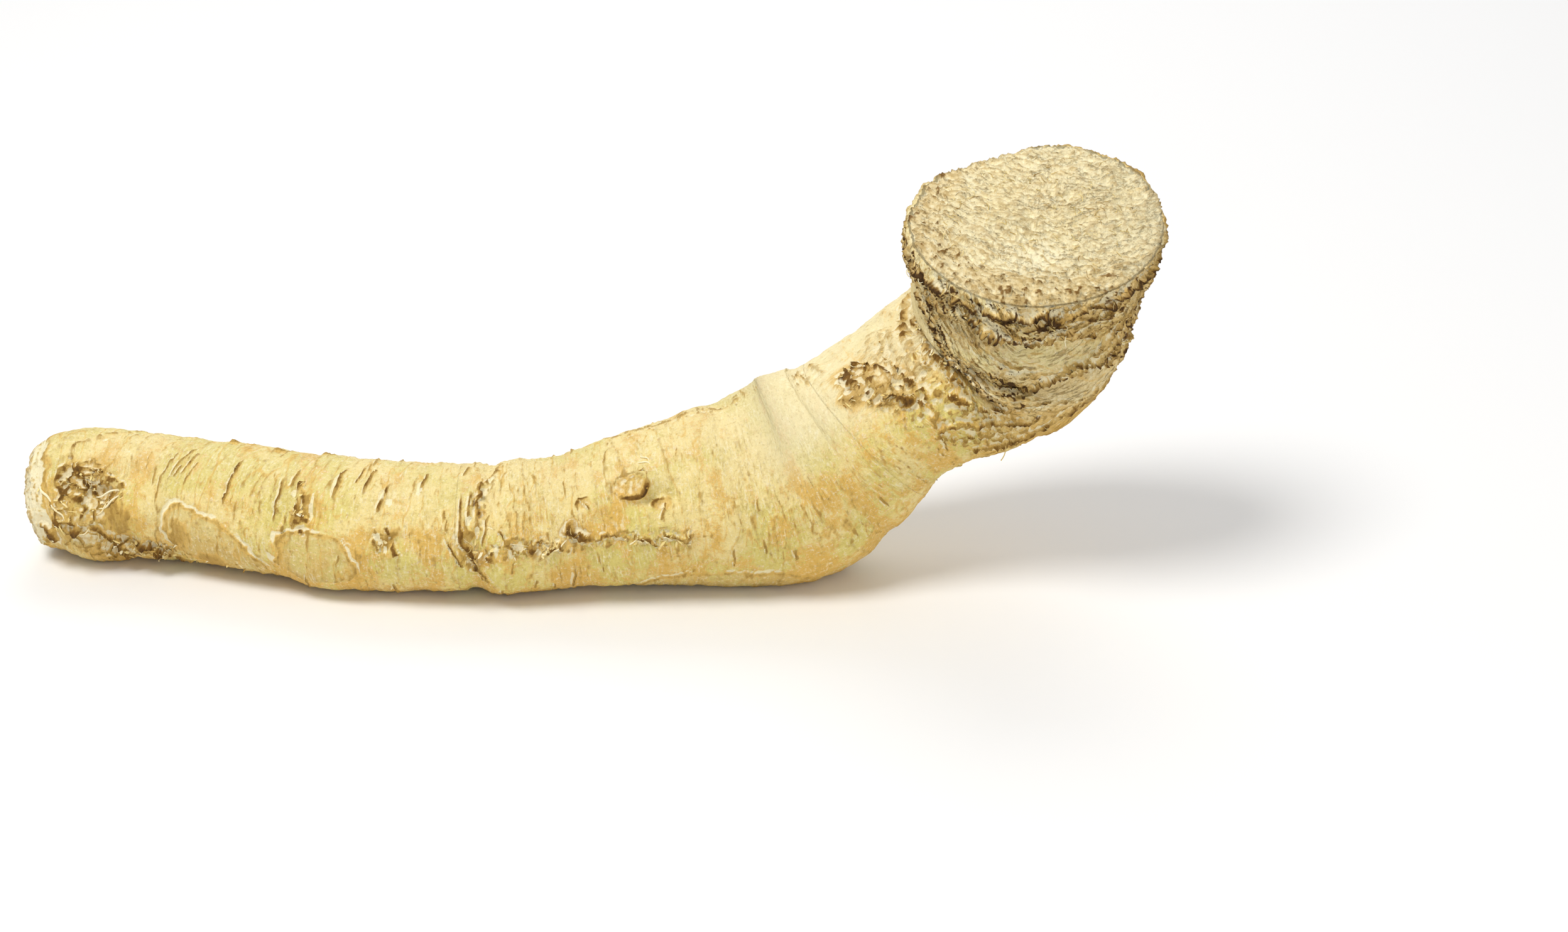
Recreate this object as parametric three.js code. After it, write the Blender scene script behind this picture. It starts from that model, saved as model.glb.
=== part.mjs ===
// A horseradish root lying on a table: one solid that grew as one piece. A long body lies along X,
// swells into a belly, bends up through a neck and ends in a broad cut crown that stands over the
// table. Millimetres, +Z up, the origin on the table under the middle of the root. +X is the crown
// end and -Y is the front.
import * as THREE from "three";

// Stations along the root, from the tail cut to the crown cut. at is a point of the centreline, with
// its height over the table last. half is the half width from front to back, then the half height
// across the bend.
const STATIONS = [
  { at: [-146.7, 10.4, 16.5], half: [14.5, 15] }, // tail cut
  { at: [-135.2, 8.9, 17.5], half: [17, 17.2] }, // tail knob
  { at: [-108.7, 4.9, 17.3], half: [17.2, 17.2] },
  { at: [-81.7, -4.1, 17.3], half: [17.2, 17] },
  { at: [-55.7, -11.6, 17.5], half: [17.4, 17.3] },
  { at: [-28.7, -14.1, 17.6], half: [17.4, 17.2] }, // middle of the body
  { at: [-4.7, -12.6, 18.4], half: [18, 18] },
  { at: [17.3, -10.1, 22], half: [20, 21.3] },
  { at: [38.3, -6.6, 24], half: [23, 25] },
  { at: [56.3, -3.6, 27], half: [25, 28.7] }, // belly
  { at: [70.3, -1.1, 34.8], half: [25, 25.5] },
  { at: [81.3, 0.9, 44.5], half: [25, 22.3] }, // neck
  { at: [92.3, 3.4, 51.8], half: [27, 23] },
  { at: [103.3, 5.4, 57.5], half: [29.5, 25] },
  { at: [111.8, 4.9, 64.5], half: [31, 27] }, // elbow
  { at: [115.8, 2.4, 74], half: [31, 28.5] },
  { at: [117.8, -1.6, 84], half: [30.5, 30.5] }, // crown collar
  { at: [118.8, -6.1, 94], half: [30, 32.3] },
  { at: [119.3, -10.1, 102], half: [28.5, 33] }, // crown rim
];

const ROWS_A_SPAN = 6; // rows of facets between two stations
const SIDES = 44; // facets round the root
const CUT_ROWS = 5; // rows of facets from the middle of a cut face to its rim
const CROWN_DOME = 3; // bulge of the crown's cut face
const TAIL_DOME = 3; // bulge of the tail's cut face
const RIM_ROUND = 2.5; // rounding between a cut face and the skin
const CROWN_SKEW = 0.045; // how far the crown's outline is drawn out, front inside to back outside
const SKEW_FROM = 285; // where along the root that outline begins
const SKEW_OVER = 25;

// Lumps (+) and hollows (-) of the skin. s is the distance from the tail cut along the root, angle
// goes round it in degrees: 0 front, 90 the top and the inside of the bend, -90 the underside.
// long and wide are the lump's half lengths along and round the root, in millimetres and degrees.
const LUMPS = [
  { s: 6, angle: 70, long: 5, wide: 22, height: 1.3 }, // tail knob
  { s: 7, angle: -10, long: 4, wide: 16, height: 1.2 },
  { s: 8, angle: 170, long: 6, wide: 30, height: 1.0 },
  { s: 15, angle: -55, long: 9, wide: 35, height: 1.8 },
  { s: 15, angle: 2, long: 4, wide: 12, height: 1.6 },
  { s: 20, angle: 24, long: 3.5, wide: 9, height: -2 },
  { s: 28, angle: 46, long: 4, wide: 10, height: -1.6 },
  { s: 31, angle: 12, long: 6, wide: 18, height: 1.2 },
  { s: 25, angle: -18, long: 3.5, wide: 12, height: -1.8 },
  { s: 36, angle: 95, long: 10, wide: 40, height: -0.7 },
  { s: 82, angle: 28, long: 4, wide: 8, height: -1.4 }, // pits in the bark
  { s: 102, angle: 12, long: 4, wide: 8, height: -1.3 },
  { s: 84, angle: -40, long: 10, wide: 28, height: 2 }, // swelling where a rootlet was
  { s: 112, angle: 200, long: 9, wide: 24, height: 1.4 },
  { s: 154, angle: 36, long: 5, wide: 10, height: 1.2 },
  { s: 168, angle: 48, long: 5, wide: 12, height: 1.8 }, // bud scar, with the pit below it
  { s: 170, angle: 31, long: 4.5, wide: 8, height: -2.4 },
  { s: 205, angle: 150, long: 12, wide: 35, height: 1.6 },
  { s: 214, angle: 15, long: 10, wide: 22, height: 1.0 },
  { s: 237, angle: 50, long: 4.5, wide: 9, height: 2 }, // warty patch under the neck
  { s: 243, angle: 36, long: 4.5, wide: 9, height: 1.8 },
  { s: 246, angle: 54, long: 3.5, wide: 7, height: -1.8 },
  { s: 251, angle: 26, long: 5, wide: 10, height: -1.5 },
  { s: 252, angle: 205, long: 12, wide: 30, height: 1.8 },
  { s: 279, angle: -75, long: 13, wide: 42, height: 2.3 }, // outside of the elbow
  { s: 296, angle: 45, long: 8, wide: 20, height: -1.2 },
  { s: 313, angle: -135, long: 12, wide: 36, height: 2 }, // crown, fuller at the back outside
  { s: 312, angle: 152, long: 10, wide: 26, height: -1.8 },
  { s: 308, angle: 48, long: 12, wide: 28, height: -1.6 },
  { s: 310, angle: -12, long: 5, wide: 7, height: -1.8 }, // gap in the lip
];

// Rings where the root stopped and grew again. A ring lies at s, slants by slant millimetres for
// each degree from its angle, and fades out past reach degrees on each side of it.
const RINGS = [
  { s: 23, angle: -45, reach: 45, slant: -0.12, width: 2.5, height: -1.8 },
  { s: 42, angle: 0, reach: 400, slant: 0.02, width: 3, height: -0.9 },
  { s: 61, angle: 50, reach: 45, slant: 0.02, width: 2.5, height: 0.7 },
  { s: 76, angle: 40, reach: 70, slant: 0, width: 2.5, height: -1.2 },
  { s: 97, angle: 55, reach: 50, slant: 0.02, width: 3, height: 0.7 },
  { s: 124, angle: 20, reach: 110, slant: 0.03, width: 2.5, height: -1.8 },
  { s: 130, angle: 20, reach: 140, slant: 0.03, width: 4, height: 1.1 },
  { s: 147, angle: 0, reach: 90, slant: -0.03, width: 3, height: -0.7 },
  { s: 184, angle: 60, reach: 120, slant: -0.05, width: 5, height: 1.0 },
  { s: 193, angle: 60, reach: 100, slant: -0.05, width: 3, height: -0.8 },
  { s: 222, angle: -20, reach: 90, slant: 0.04, width: 3, height: -1.2 },
  { s: 259, angle: 50, reach: 60, slant: -0.2, width: 3, height: -2 }, // inside of the bend
  { s: 266, angle: 20, reach: 45, slant: -0.25, width: 2.5, height: -1.6 },
  { s: 270, angle: -60, reach: 50, slant: -0.1, width: 3, height: -1 },
  { s: 279, angle: -10, reach: 60, slant: -0.14, width: 3.5, height: 1.4 }, // collar
  { s: 290, angle: -30, reach: 55, slant: -0.16, width: 2.5, height: -2 },
  { s: 296, angle: -30, reach: 55, slant: -0.1, width: 2.5, height: 1 },
  { s: 303, angle: 0, reach: 400, slant: 0, width: 3, height: -1.2 },
  { s: 309, angle: 0, reach: 400, slant: 0, width: 3, height: 1.2 }, // lip under the rim
];

const centreline = curveThrough(({ at }) => at);
const halves = curveThrough(({ half }) => [...half, 0]);
const SPANS = STATIONS.length - 1;

function curveThrough(valuesOf) {
  const points = STATIONS.map((station) => new THREE.Vector3(...valuesOf(station)));
  const curve = new THREE.CatmullRomCurve3(points, false, "catmullrom");
  curve.arcLengthDivisions = 1000;
  return curve;
}

// The axes of a section: along the root, towards the front, and towards the inside of the bend.
function axesAt(t) {
  const along = centreline.getTangent(t);
  const front = new THREE.Vector3(0, -1, 0).projectOnPlane(along).normalize();
  const inner = new THREE.Vector3().crossVectors(front, along);
  return { along, front, inner };
}

// How far along the root, in millimetres, the curve's own parameter t lies.
const lengths = centreline.getLengths();
function distanceAt(t) {
  const place = t * (lengths.length - 1);
  const low = Math.min(Math.floor(place), lengths.length - 2);
  return THREE.MathUtils.lerp(lengths[low], lengths[low + 1], place - low);
}

const bell = (offset, width) => Math.exp(-((offset / width) ** 2));
const turn = (from, to) => THREE.MathUtils.euclideanModulo(from - to + 180, 360) - 180;

function relief(s, angle) {
  let height = 0;
  for (const lump of LUMPS)
    height += lump.height * bell(s - lump.s, lump.long) * bell(turn(angle, lump.angle), lump.wide);
  for (const ring of RINGS) {
    const away = turn(angle, ring.angle);
    const middle = ring.s + ring.slant * away;
    height += ring.height * bell(s - middle, ring.width) * bell(away, ring.reach);
  }
  return height;
}

// Half size of the plain section at t, towards an angle.
function reachAt(t, angle) {
  const a = THREE.MathUtils.degToRad(angle);
  const half = halves.getPoint(t);
  const skew = CROWN_SKEW * THREE.MathUtils.smoothstep(distanceAt(t), SKEW_FROM, SKEW_FROM + SKEW_OVER);
  return (1 + skew * Math.sin(2 * a)) / Math.hypot(Math.cos(a) / half.x, Math.sin(a) / half.y);
}

// A row of points round the root at t. A row of a cut face is drawn in to a share of that size and
// lifted along the root.
function row(t, share = 1, lift = 0) {
  const { along, front, inner } = axesAt(t);
  const centre = centreline.getPoint(t).addScaledVector(along, lift);
  return Array.from({ length: SIDES }, (_, side) => {
    const angle = (side / SIDES) * 360;
    const a = THREE.MathUtils.degToRad(angle);
    const reach = share * (reachAt(t, angle) + relief(distanceAt(t), angle));
    return centre
      .clone()
      .addScaledVector(front, reach * Math.cos(a))
      .addScaledVector(inner, reach * Math.sin(a));
  });
}

// The rows of a cut face, from its rim inwards: domed, with a rounded rim. end is 0 or 1.
function cutRows(end, dome) {
  const outwards = end === 0 ? -1 : 1;
  const rows = [];
  for (let i = 1; i < CUT_ROWS; i++) {
    const share = Math.cos((i / CUT_ROWS) * (Math.PI / 2)) ** 0.7;
    const lift = dome * (1 - share ** 2) + RIM_ROUND * Math.sqrt(1 - share ** 8);
    rows.push(row(end, share, outwards * lift));
  }
  return rows;
}

function rootGeometry() {
  const sideRows = Array.from({ length: SPANS * ROWS_A_SPAN + 1 }, (_, i) =>
    row(i / (SPANS * ROWS_A_SPAN)),
  );
  const rows = [...cutRows(0, TAIL_DOME).reverse(), ...sideRows, ...cutRows(1, CROWN_DOME)];
  const points = rows.flat();
  const middleOf = (end, lift) =>
    points.push(centreline.getPoint(end).addScaledVector(axesAt(end).along, lift)) - 1;
  const tail = middleOf(0, -TAIL_DOME - RIM_ROUND);
  const crown = middleOf(1, CROWN_DOME + RIM_ROUND);
  const index = [];
  const lastRow = (rows.length - 1) * SIDES;
  for (let side = 0; side < SIDES; side++) {
    const next = (side + 1) % SIDES;
    index.push(tail, side, next);
    for (let r = 0; r < lastRow; r += SIDES) {
      index.push(r + side, r + SIDES + side, r + next);
      index.push(r + next, r + SIDES + side, r + SIDES + next);
    }
    index.push(crown, lastRow + next, lastRow + side);
  }
  for (const point of points) point.z = Math.max(point.z, 0); // the belly and tail lie flat
  return new THREE.BufferGeometry().setFromPoints(points).setIndex(index);
}

const rootSkin = new THREE.MeshStandardMaterial({ color: 0xdcca88, roughness: 0.8, metalness: 0 });
const root = new THREE.Mesh(rootGeometry(), rootSkin);
root.name = "root";
const part = new THREE.Group();
part.add(root);
export default part;
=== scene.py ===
"""A horseradish root on a pale floor: bark-like skin, a cut crown, rootlets and peeling skin.

The skin is swept along the root's centreline, with its relief worked out as heights over that sweep,
and what grows or flakes from it is scattered over it with Geometry Nodes. Sizes in this file are in
millimetres and the objects in metres. +X is the crown end, -Y the front, +Z up.
"""

import math

import bpy
import numpy as np
from bpy.props import FloatProperty, FloatVectorProperty, PointerProperty
from bpy.types import Operator, Panel, PropertyGroup
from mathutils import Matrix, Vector
from mathutils.bvhtree import BVHTree


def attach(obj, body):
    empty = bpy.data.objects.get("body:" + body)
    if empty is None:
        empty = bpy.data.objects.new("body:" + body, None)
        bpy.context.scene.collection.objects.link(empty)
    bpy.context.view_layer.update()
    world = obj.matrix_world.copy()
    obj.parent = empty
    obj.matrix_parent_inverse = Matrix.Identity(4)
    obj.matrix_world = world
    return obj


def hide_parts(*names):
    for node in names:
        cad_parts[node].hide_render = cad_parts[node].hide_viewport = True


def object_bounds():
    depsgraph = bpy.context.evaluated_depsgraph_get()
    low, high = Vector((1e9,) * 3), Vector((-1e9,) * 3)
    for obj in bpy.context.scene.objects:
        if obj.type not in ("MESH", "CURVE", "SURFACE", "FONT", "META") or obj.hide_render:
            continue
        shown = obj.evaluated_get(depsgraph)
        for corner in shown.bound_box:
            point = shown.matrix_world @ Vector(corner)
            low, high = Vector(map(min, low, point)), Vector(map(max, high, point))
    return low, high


bl_info = {
    "name": "Horseradish Root",
    "version": (1, 0, 0),
    "blender": (4, 5, 0),
    "location": "View3D > Sidebar > Horseradish",
    "description": "Builds a horseradish root with bark-like skin, a cut crown and rootlets",
    "category": "Add Mesh",
}

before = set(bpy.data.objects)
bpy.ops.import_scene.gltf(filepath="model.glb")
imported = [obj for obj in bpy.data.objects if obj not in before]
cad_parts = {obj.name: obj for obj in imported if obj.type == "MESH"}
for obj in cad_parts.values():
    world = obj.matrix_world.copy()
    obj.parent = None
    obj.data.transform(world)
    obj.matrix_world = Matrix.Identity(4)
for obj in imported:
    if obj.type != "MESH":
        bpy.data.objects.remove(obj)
SOLID_BOX = [list(corner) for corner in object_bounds()]
BODY = "root"
NODE = "root"
SKINS = ("horseradish_tail_skin", "horseradish_body_skin", "horseradish_crown_skin")
FIBRE_MATERIAL = "horseradish fibre"
MM = 0.001
PER_SQUARE_CM = 1e4  # one a square centimetre is so many a square metre
BOX_FRONT, BOX_BACK = (corner[1] / MM for corner in SOLID_BOX)

# The stations, lumps and rings are the solid's own. A station is a point of the centreline, then the
# half width from front to back and the half height across the bend.
STATIONS = [
    ((-146.7, 10.4, 16.5), (14.5, 15)),  # tail cut
    ((-135.2, 8.9, 17.5), (17, 17.2)),  # tail knob
    ((-108.7, 4.9, 17.3), (17.2, 17.2)),
    ((-81.7, -4.1, 17.3), (17.2, 17)),
    ((-55.7, -11.6, 17.5), (17.4, 17.3)),
    ((-28.7, -14.1, 17.6), (17.4, 17.2)),  # middle of the body
    ((-4.7, -12.6, 18.4), (18, 18)),
    ((17.3, -10.1, 22), (20, 21.3)),
    ((38.3, -6.6, 24), (23, 25)),
    ((56.3, -3.6, 27), (25, 28.7)),  # belly
    ((70.3, -1.1, 34.8), (25, 25.5)),
    ((81.3, 0.9, 44.5), (25, 22.3)),  # neck
    ((92.3, 3.4, 51.8), (27, 23)),
    ((103.3, 5.4, 57.5), (29.5, 25)),
    ((111.8, 4.9, 64.5), (31, 27)),  # elbow
    ((115.8, 2.4, 74), (31, 28.5)),
    ((117.8, -1.6, 84), (30.5, 30.5)),  # crown collar
    ((118.8, -6.1, 94), (30, 32.3)),
    ((119.3, -10.1, 102), (28.5, 33)),  # crown rim
]
CROWN_DOME = 3
TAIL_DOME = 3
RIM_ROUND = 2.5
CROWN_SKEW = 0.045
SKEW_FROM = 285
SKEW_OVER = 25
CURVE_STEPS = 4001  # to measure s along the centreline
TAIL_END, CROWN_END = -1, 1e9  # s before the tail cut and past the crown's

# s is the distance from the tail cut along the root. An angle goes round it: 0 front, 90 the top and
# the inside of the bend, -90 the underside. A lump is s, angle, half length in mm, half width in
# degrees, height.
LUMPS = [
    (6, 70, 5, 22, 1.3),
    (7, -10, 4, 16, 1.2),
    (8, 170, 6, 30, 1.0),
    (15, -55, 9, 35, 1.8),
    (15, 2, 4, 12, 1.6),
    (20, 24, 3.5, 9, -2),
    (28, 46, 4, 10, -1.6),
    (31, 12, 6, 18, 1.2),
    (25, -18, 3.5, 12, -1.8),
    (36, 95, 10, 40, -0.7),
    (82, 28, 4, 8, -1.4),
    (102, 12, 4, 8, -1.3),
    (84, -40, 10, 28, 2),
    (112, 200, 9, 24, 1.4),
    (154, 36, 5, 10, 1.2),
    (168, 48, 5, 12, 1.8),
    (170, 31, 4.5, 8, -2.4),
    (205, 150, 12, 35, 1.6),
    (214, 15, 10, 22, 1.0),
    (237, 50, 4.5, 9, 2),
    (243, 36, 4.5, 9, 1.8),
    (246, 54, 3.5, 7, -1.8),
    (251, 26, 5, 10, -1.5),
    (252, 205, 12, 30, 1.8),
    (279, -75, 13, 42, 2.3),
    (296, 45, 8, 20, -1.2),
    (313, -135, 12, 36, 2),
    (312, 152, 10, 26, -1.8),
    (308, 48, 12, 28, -1.6),
    (310, -12, 5, 7, -1.8),
]
# A ring is s, angle, how far it reaches round in degrees, its slant in mm a degree, width, height.
RINGS = [
    (23, -45, 45, -0.12, 2.5, -1.8),
    (42, 0, 400, 0.02, 3, -0.9),
    (61, 50, 45, 0.02, 2.5, 0.7),
    (76, 40, 70, 0, 2.5, -1.2),
    (97, 55, 50, 0.02, 3, 0.7),
    (124, 20, 110, 0.03, 2.5, -1.8),
    (130, 20, 140, 0.03, 4, 1.1),
    (147, 0, 90, -0.03, 3, -0.7),
    (184, 60, 120, -0.05, 5, 1.0),
    (193, 60, 100, -0.05, 3, -0.8),
    (222, -20, 90, 0.04, 3, -1.2),
    (259, 50, 60, -0.2, 3, -2),
    (266, 20, 45, -0.25, 2.5, -1.6),
    (270, -60, 50, -0.1, 3, -1),
    (279, -10, 60, -0.14, 3.5, 1.4),
    (290, -30, 55, -0.16, 2.5, -2),
    (296, -30, 55, -0.1, 2.5, 1),
    (303, 0, 400, 0, 3, -1.2),
    (309, 0, 400, 0, 3, 1.2),
]

# The skin is three pieces that meet at these s. The crown has twice the sides of the others.
SEAMS = (118, 232)
BODY_SIDES = 200
CROWN_SIDES = 2 * BODY_SIDES
BODY_ROW = 0.34
CROWN_ROW = 0.5
TAIL_CUT_ROWS = 26
CROWN_CUT_ROWS = 62
RIM_ROWS = 6  # of those, the ones on the rounded rim
RIM_SHARE = 0.06  # and how much of a cut's radius the rim takes up
POLES_OUT = (0.3, 0.1)  # how far the middles of the tail's and the crown's ends stand out
MOST_OUT = 1.7  # the skin stands out from the solid by less than this
PAST_BOX = 1.9  # and past the solid's box, in front and behind, by no more than this
MARGIN_ROWS = 24  # worked out past the seam and then dropped, so that both pieces agree there
MARK_MARGIN = 5  # how far along s a mark may reach past its own place

# Stretches of s over which the skin gains something.
DRAPED = (205, 270)  # hangs in folds
COLLAR = (262, 274)  # the crown collar's rough folds
ELBOW = (242, 258)  # wrinkles along the bend
SHOULDER = (178, 226)  # smooth, pale skin on the bend's upper side
CALM = (172, 200)  # fewer wrinkles on that skin
ROUGH_AGAIN = (228, 240)  # and more again
OLD_CROWN = (246, 272)  # dull and weathered
SHADED_UNDER = (252, 270)  # amber painted on the underside, as shade under the crown's overhang
CHIPS_TO_RIDGES = (48, 60)  # crumbling bark in pitted ridges, where the tail's is in chips
# And over which it loses something: the s at which the last of it is gone, and over how much.
DULL_TAIL = (30, 24)
RUBBED_TOP = (215, 15)
RUBBED_ANGLE, RUBBED_WIDTH = 110, 16  # in degrees
SMOOTH_OUTLINE_TO = 250  # up to here nothing sprouts from the top

# Shallow dents and swellings too slight for the solid, given as its lumps are.
DENTS = [
    (316, 138, 12, 22, -1.8),
    (316, 168, 12, 24, -1.8),
    (300, 100, 10, 18, -0.8),
    (226, 75, 14, 20, 0.7),
    (220, 92, 11, 40, 1.5),
    (60, -60, 12, 22, -0.6),
]

# How far up the collar its folds run at each angle, in mm. They hang like cloth, lowest in front.
DRAPE = [
    (-180, 18),
    (-110, 16),
    (-60, 13),
    (-25, 6),
    (5, 0),
    (25, 6),
    (50, 20),
    (75, 32),
    (100, 34),
    (140, 26),
    (180, 18),
]

# Smoother panels between the collar's folds: s, angle, half length, half width in degrees, how smooth.
# One whole side of the collar is a little smoother too: its angle, half width and how smooth it is.
CALMER_SIDE = (-32, 26, 0.35)
CALMER_FROM = (272, 286)
PANELS = [
    (300.5, -14, 4.5, 24, 0.85),
    (286, -38, 5, 26, 0.85),
    (266, -20, 6, 20, 0.5),
    (299, 27, 9, 14, 0.45),
]

# Slits across the grain where rootlets were: s, angle, half length, depth, slant in mm a degree.
SLITS = [
    (58.5, 49, 7.5, 1.3, 0.03),
    (72.5, 40, 8, 0.9, 0),
    (75, 66, 4, 0.8, 0.03),
    (87.5, 62, 6, 1.1, 0.02),
    (92.5, 72, 3.5, 0.9, 0.05),
    (95.5, 65, 4.5, 1.1, 0.05),
    (99.5, 50, 4.5, 1.2, 0.06),
    (109, 67, 4.5, 1.1, 0.06),
    (120, 87, 3, 0.9, 0.08),
    (119.1, 36, 7, 1.0, 0.0),
    (121, 2, 7, 1.3, -0.12),
    (123.4, 54, 7, 0.9, 0.03),
    (117.6, 2, 5, 1.0, -0.14),
    (125.2, 22, 5, 0.8, 0.05),
    (121.4, 46, 5, 0.7, 0.02),
    (147, 56, 2.5, 0.4, 0),
    (152, 37, 2.4, 0.7, -0.2),
    (171, 20, 2.4, 0.7, 0.1),
    (160, 74, 3, 0.5, 0.1),
    (176, 60, 3, 0.4, 0.1),
    (36, 34, 5, 0.4, 0.02),
    (34, 45, 4, 0.35, 0.02),
    (31, 60, 4, 0.35, 0.02),
]
NARROW_SLIT = 0.32  # the width of nicks and scratches

# Marks placed at random: how many, then the least and most of each of their values. A slit's and a
# nick's are s, angle, half length, depth and slant.
RANDOM_SLITS = (110, (34, 250), (0, 360), (1.5, 6), (0.25, 0.8), (-0.03, 0.05))
NICKS = (190, (14, 285), (0, 360), (0.9, 3.2), (0.1, 0.3), (-0.02, 0.06))
KEPT_CLEAR = (190, 45, 50)  # up to this s, random slits stay so many degrees away from this angle
# A crack on the back: s, angle, lean in mm a degree, reach in degrees, width, depth, lip.
BACK_CRACKS = (26, (236, 300), (100, 290), (-0.35, 0.35), (12, 34), (0.5, 1.0), (0.5, 1.4), (0.3, 0.8))
# A bunch of slanting scratches: turn from the angle of the first, half length.
SCRATCHES = (8, (-12, 12), (2.6, 4.4))
SCRATCHES_AT = (37.5, 62)  # s and angle of the first
SCRATCH_GAP, SCRATCH_DEPTH, SCRATCH_SLANT = 1.15, 0.6, 0.1

# Ragged cracks and folds, each a path of s and angle, then its width, depth and raised lip, and for
# those that thin threads cross, the gap between the threads.
CRACKS = [
    ([(17, -8), (19, -18), (23, -30), (26, -44)], 1.2, 1.8, 0.7),
    ([(9, 50), (7, 36), (9, 24), (8, 12)], 0.8, 1.1, 0.6),
    ([(12, 40), (16, 41), (21, 37), (25, 33)], 0.8, 1.1, 0.6),
    ([(11, 22), (15, 14), (14, 2)], 0.7, 0.9, 0.5),
    ([(29, -24), (33, -30), (38, -42), (44, -50)], 1.1, 1.5, 0.9),
    ([(77.2, 57), (77.8, 44), (78.6, 32), (79.4, 20)], 0.7, 1.4, 0.25),
    ([(80.4, 44), (80.2, 34), (80.4, 22)], 0.5, 0.9, 0.25),
    ([(98.2, 20), (98, 12), (98.8, 1)], 0.45, 0.8, 0.4),
    ([(101.6, 24), (102.4, 12), (103.6, 0)], 0.5, 1.1, 0.4),
    ([(73.6, 30), (74.4, 22), (74, 12)], 0.45, 0.7, 0.3),
    ([(128, 90), (126, 75), (123.3, 60), (122.5, 44)], 0.7, 0.8, 0.6),
    ([(119.2, 22), (120.6, 8), (122.4, -8), (124.5, -30)], 0.8, 1.2, 0.4),
    ([(126, -4), (128, 6), (131, 14)], 0.5, 0.8, 0.5),
    ([(129, 21), (130, 12), (133, 4)], 0.7, 0.9, 0.8),
    ([(134, 9), (138, 12), (142, 8)], 0.6, 0.8, 0.8),
    ([(140, 0), (143, 5), (145, 2)], 0.7, 0.9, 0.7),
    ([(147, 21), (148, 14), (151, 8)], 0.9, 1.6, 0.5),
    ([(154, 6), (158, 9), (161, 4)], 0.6, 0.8, 0.9),
    ([(162, 2), (166, 0), (168, -5)], 0.6, 0.9, 0.9),
    ([(170, 1), (175, -4), (178, -1)], 0.6, 0.8, 0.9),
    ([(160, 97), (166, 94), (171, 97), (178, 94), (184, 95), (191, 91), (197, 91)], 0.5, 0.5, 1.1),
    ([(228, 86), (231, 79), (231.5, 70)], 0.6, 0.8, 0.5),
    ([(234, 92), (236, 83), (235, 74)], 0.6, 0.8, 0.5),
    ([(268, 100), (258, 90), (254.5, 72), (253.5, 58), (254, 46)], 0.9, 1.6, 0.7),
    ([(262, 84), (257, 66), (256, 50)], 0.7, 1.1, 0.6),
    ([(256, 44), (256, 35), (258, 27), (260, 17), (261, 12)], 1.1, 1.8, 0.7, 2.4),
    ([(254, 13), (257, 6), (259, 0)], 1.2, 1.5, 0.6),
    ([(256, 8), (263, -2), (272, -12)], 0.8, 1.0, 0.5),
    (
        [(285, 4), (285, -2), (288, -10), (293, -18), (297, -27), (295, -40), (294, -55)],
        0.85,
        2.1,
        0.8,
        1.4,
    ),
    ([(290, -21), (294, -31), (292, -44), (290, -58)], 0.6, 1.3, 0.7, 1.8),
    ([(281, -4), (282, -22), (282, -42), (280, -60)], 0.6, 0.8, 0.4),
    ([(22, 102), (16, 88), (11, 70), (9.5, 55)], 1.2, 0.5, 0.3),
    ([(250, -6), (258, -12), (268, -17), (275, -28)], 0.8, 1.3, 0.6),
    ([(252, -16), (259, -21), (266, -22)], 0.6, 0.8, 0.4),
    ([(255, -33), (265, -37), (275, -37), (284, -50)], 0.9, 1.4, 0.6),
    ([(311.5, 34), (309, 24), (308, 14), (306.5, 4), (306.5, -9)], 1.1, 1.9, 0.8, 1.6),
    ([(309, -15), (308, -34), (309, -52), (306, -80)], 0.7, 0.8, 0.5),
    ([(303, -16), (305, -34), (306, -50)], 0.7, 0.8, 0.5),
    ([(300, 70), (292, 50), (283, 32), (275, 16), (271, 2)], 0.7, 0.9, 0.5),
]

# Dark gaps under the crown's rim: how far below it, width, depth.
RIM_GAPS = [
    (1.7, 0.6, 2.0),
    (5.2, 0.7, 1.3),
]

# Holes: s, angle, half length along, half width round in mm, depth.
PITS = [
    (12, -12, 1.3, 1.5, 2.2),
    (3, -20, 1.6, 2.6, 1.3),
    (9, 30, 0.9, 1.2, 1.3),
    (15, 32, 0.8, 1.0, 1.2),
    (80.2, 13, 0.4, 0.6, 0.4),
    (30, -28, 1.6, 0.7, 1.5),
    (35.5, -30, 2.0, 0.8, 1.6),
    (123.3, 57, 0.5, 0.6, 0.7),
    (123.3, 48, 0.5, 0.6, 0.7),
    (123.6, 39, 0.6, 0.7, 0.8),
    (147, 17, 1.2, 1.5, 1.6),
    (150, 12, 1.0, 1.0, 1.3),
    (136, 5, 1.0, 1.2, 1.1),
    (246, 18, 1.5, 1.0, 1.7),
    (303.5, -35, 0.9, 1.0, 1.4),
    (313.5, -11, 1.1, 1.6, 1.6),
    (314, -42, 0.9, 1.1, 1.2),
]

# Shallow shaded hollows of torn skin: s, angle, half length, half width, depth.
HOLLOWS = [
    (24, 3, 6, 6.5, 1.0),
    (44, -9, 4, 5, 0.3),
    (52, -34, 8, 4, 0.4),
    (101, 10, 2.2, 5, 0.3),
    (79, 33, 1.8, 7.5, 0.35),
    (120.5, 12, 1.8, 7, 0.5),
    (122.5, -6, 1.6, 5, 0.4),
]

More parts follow.
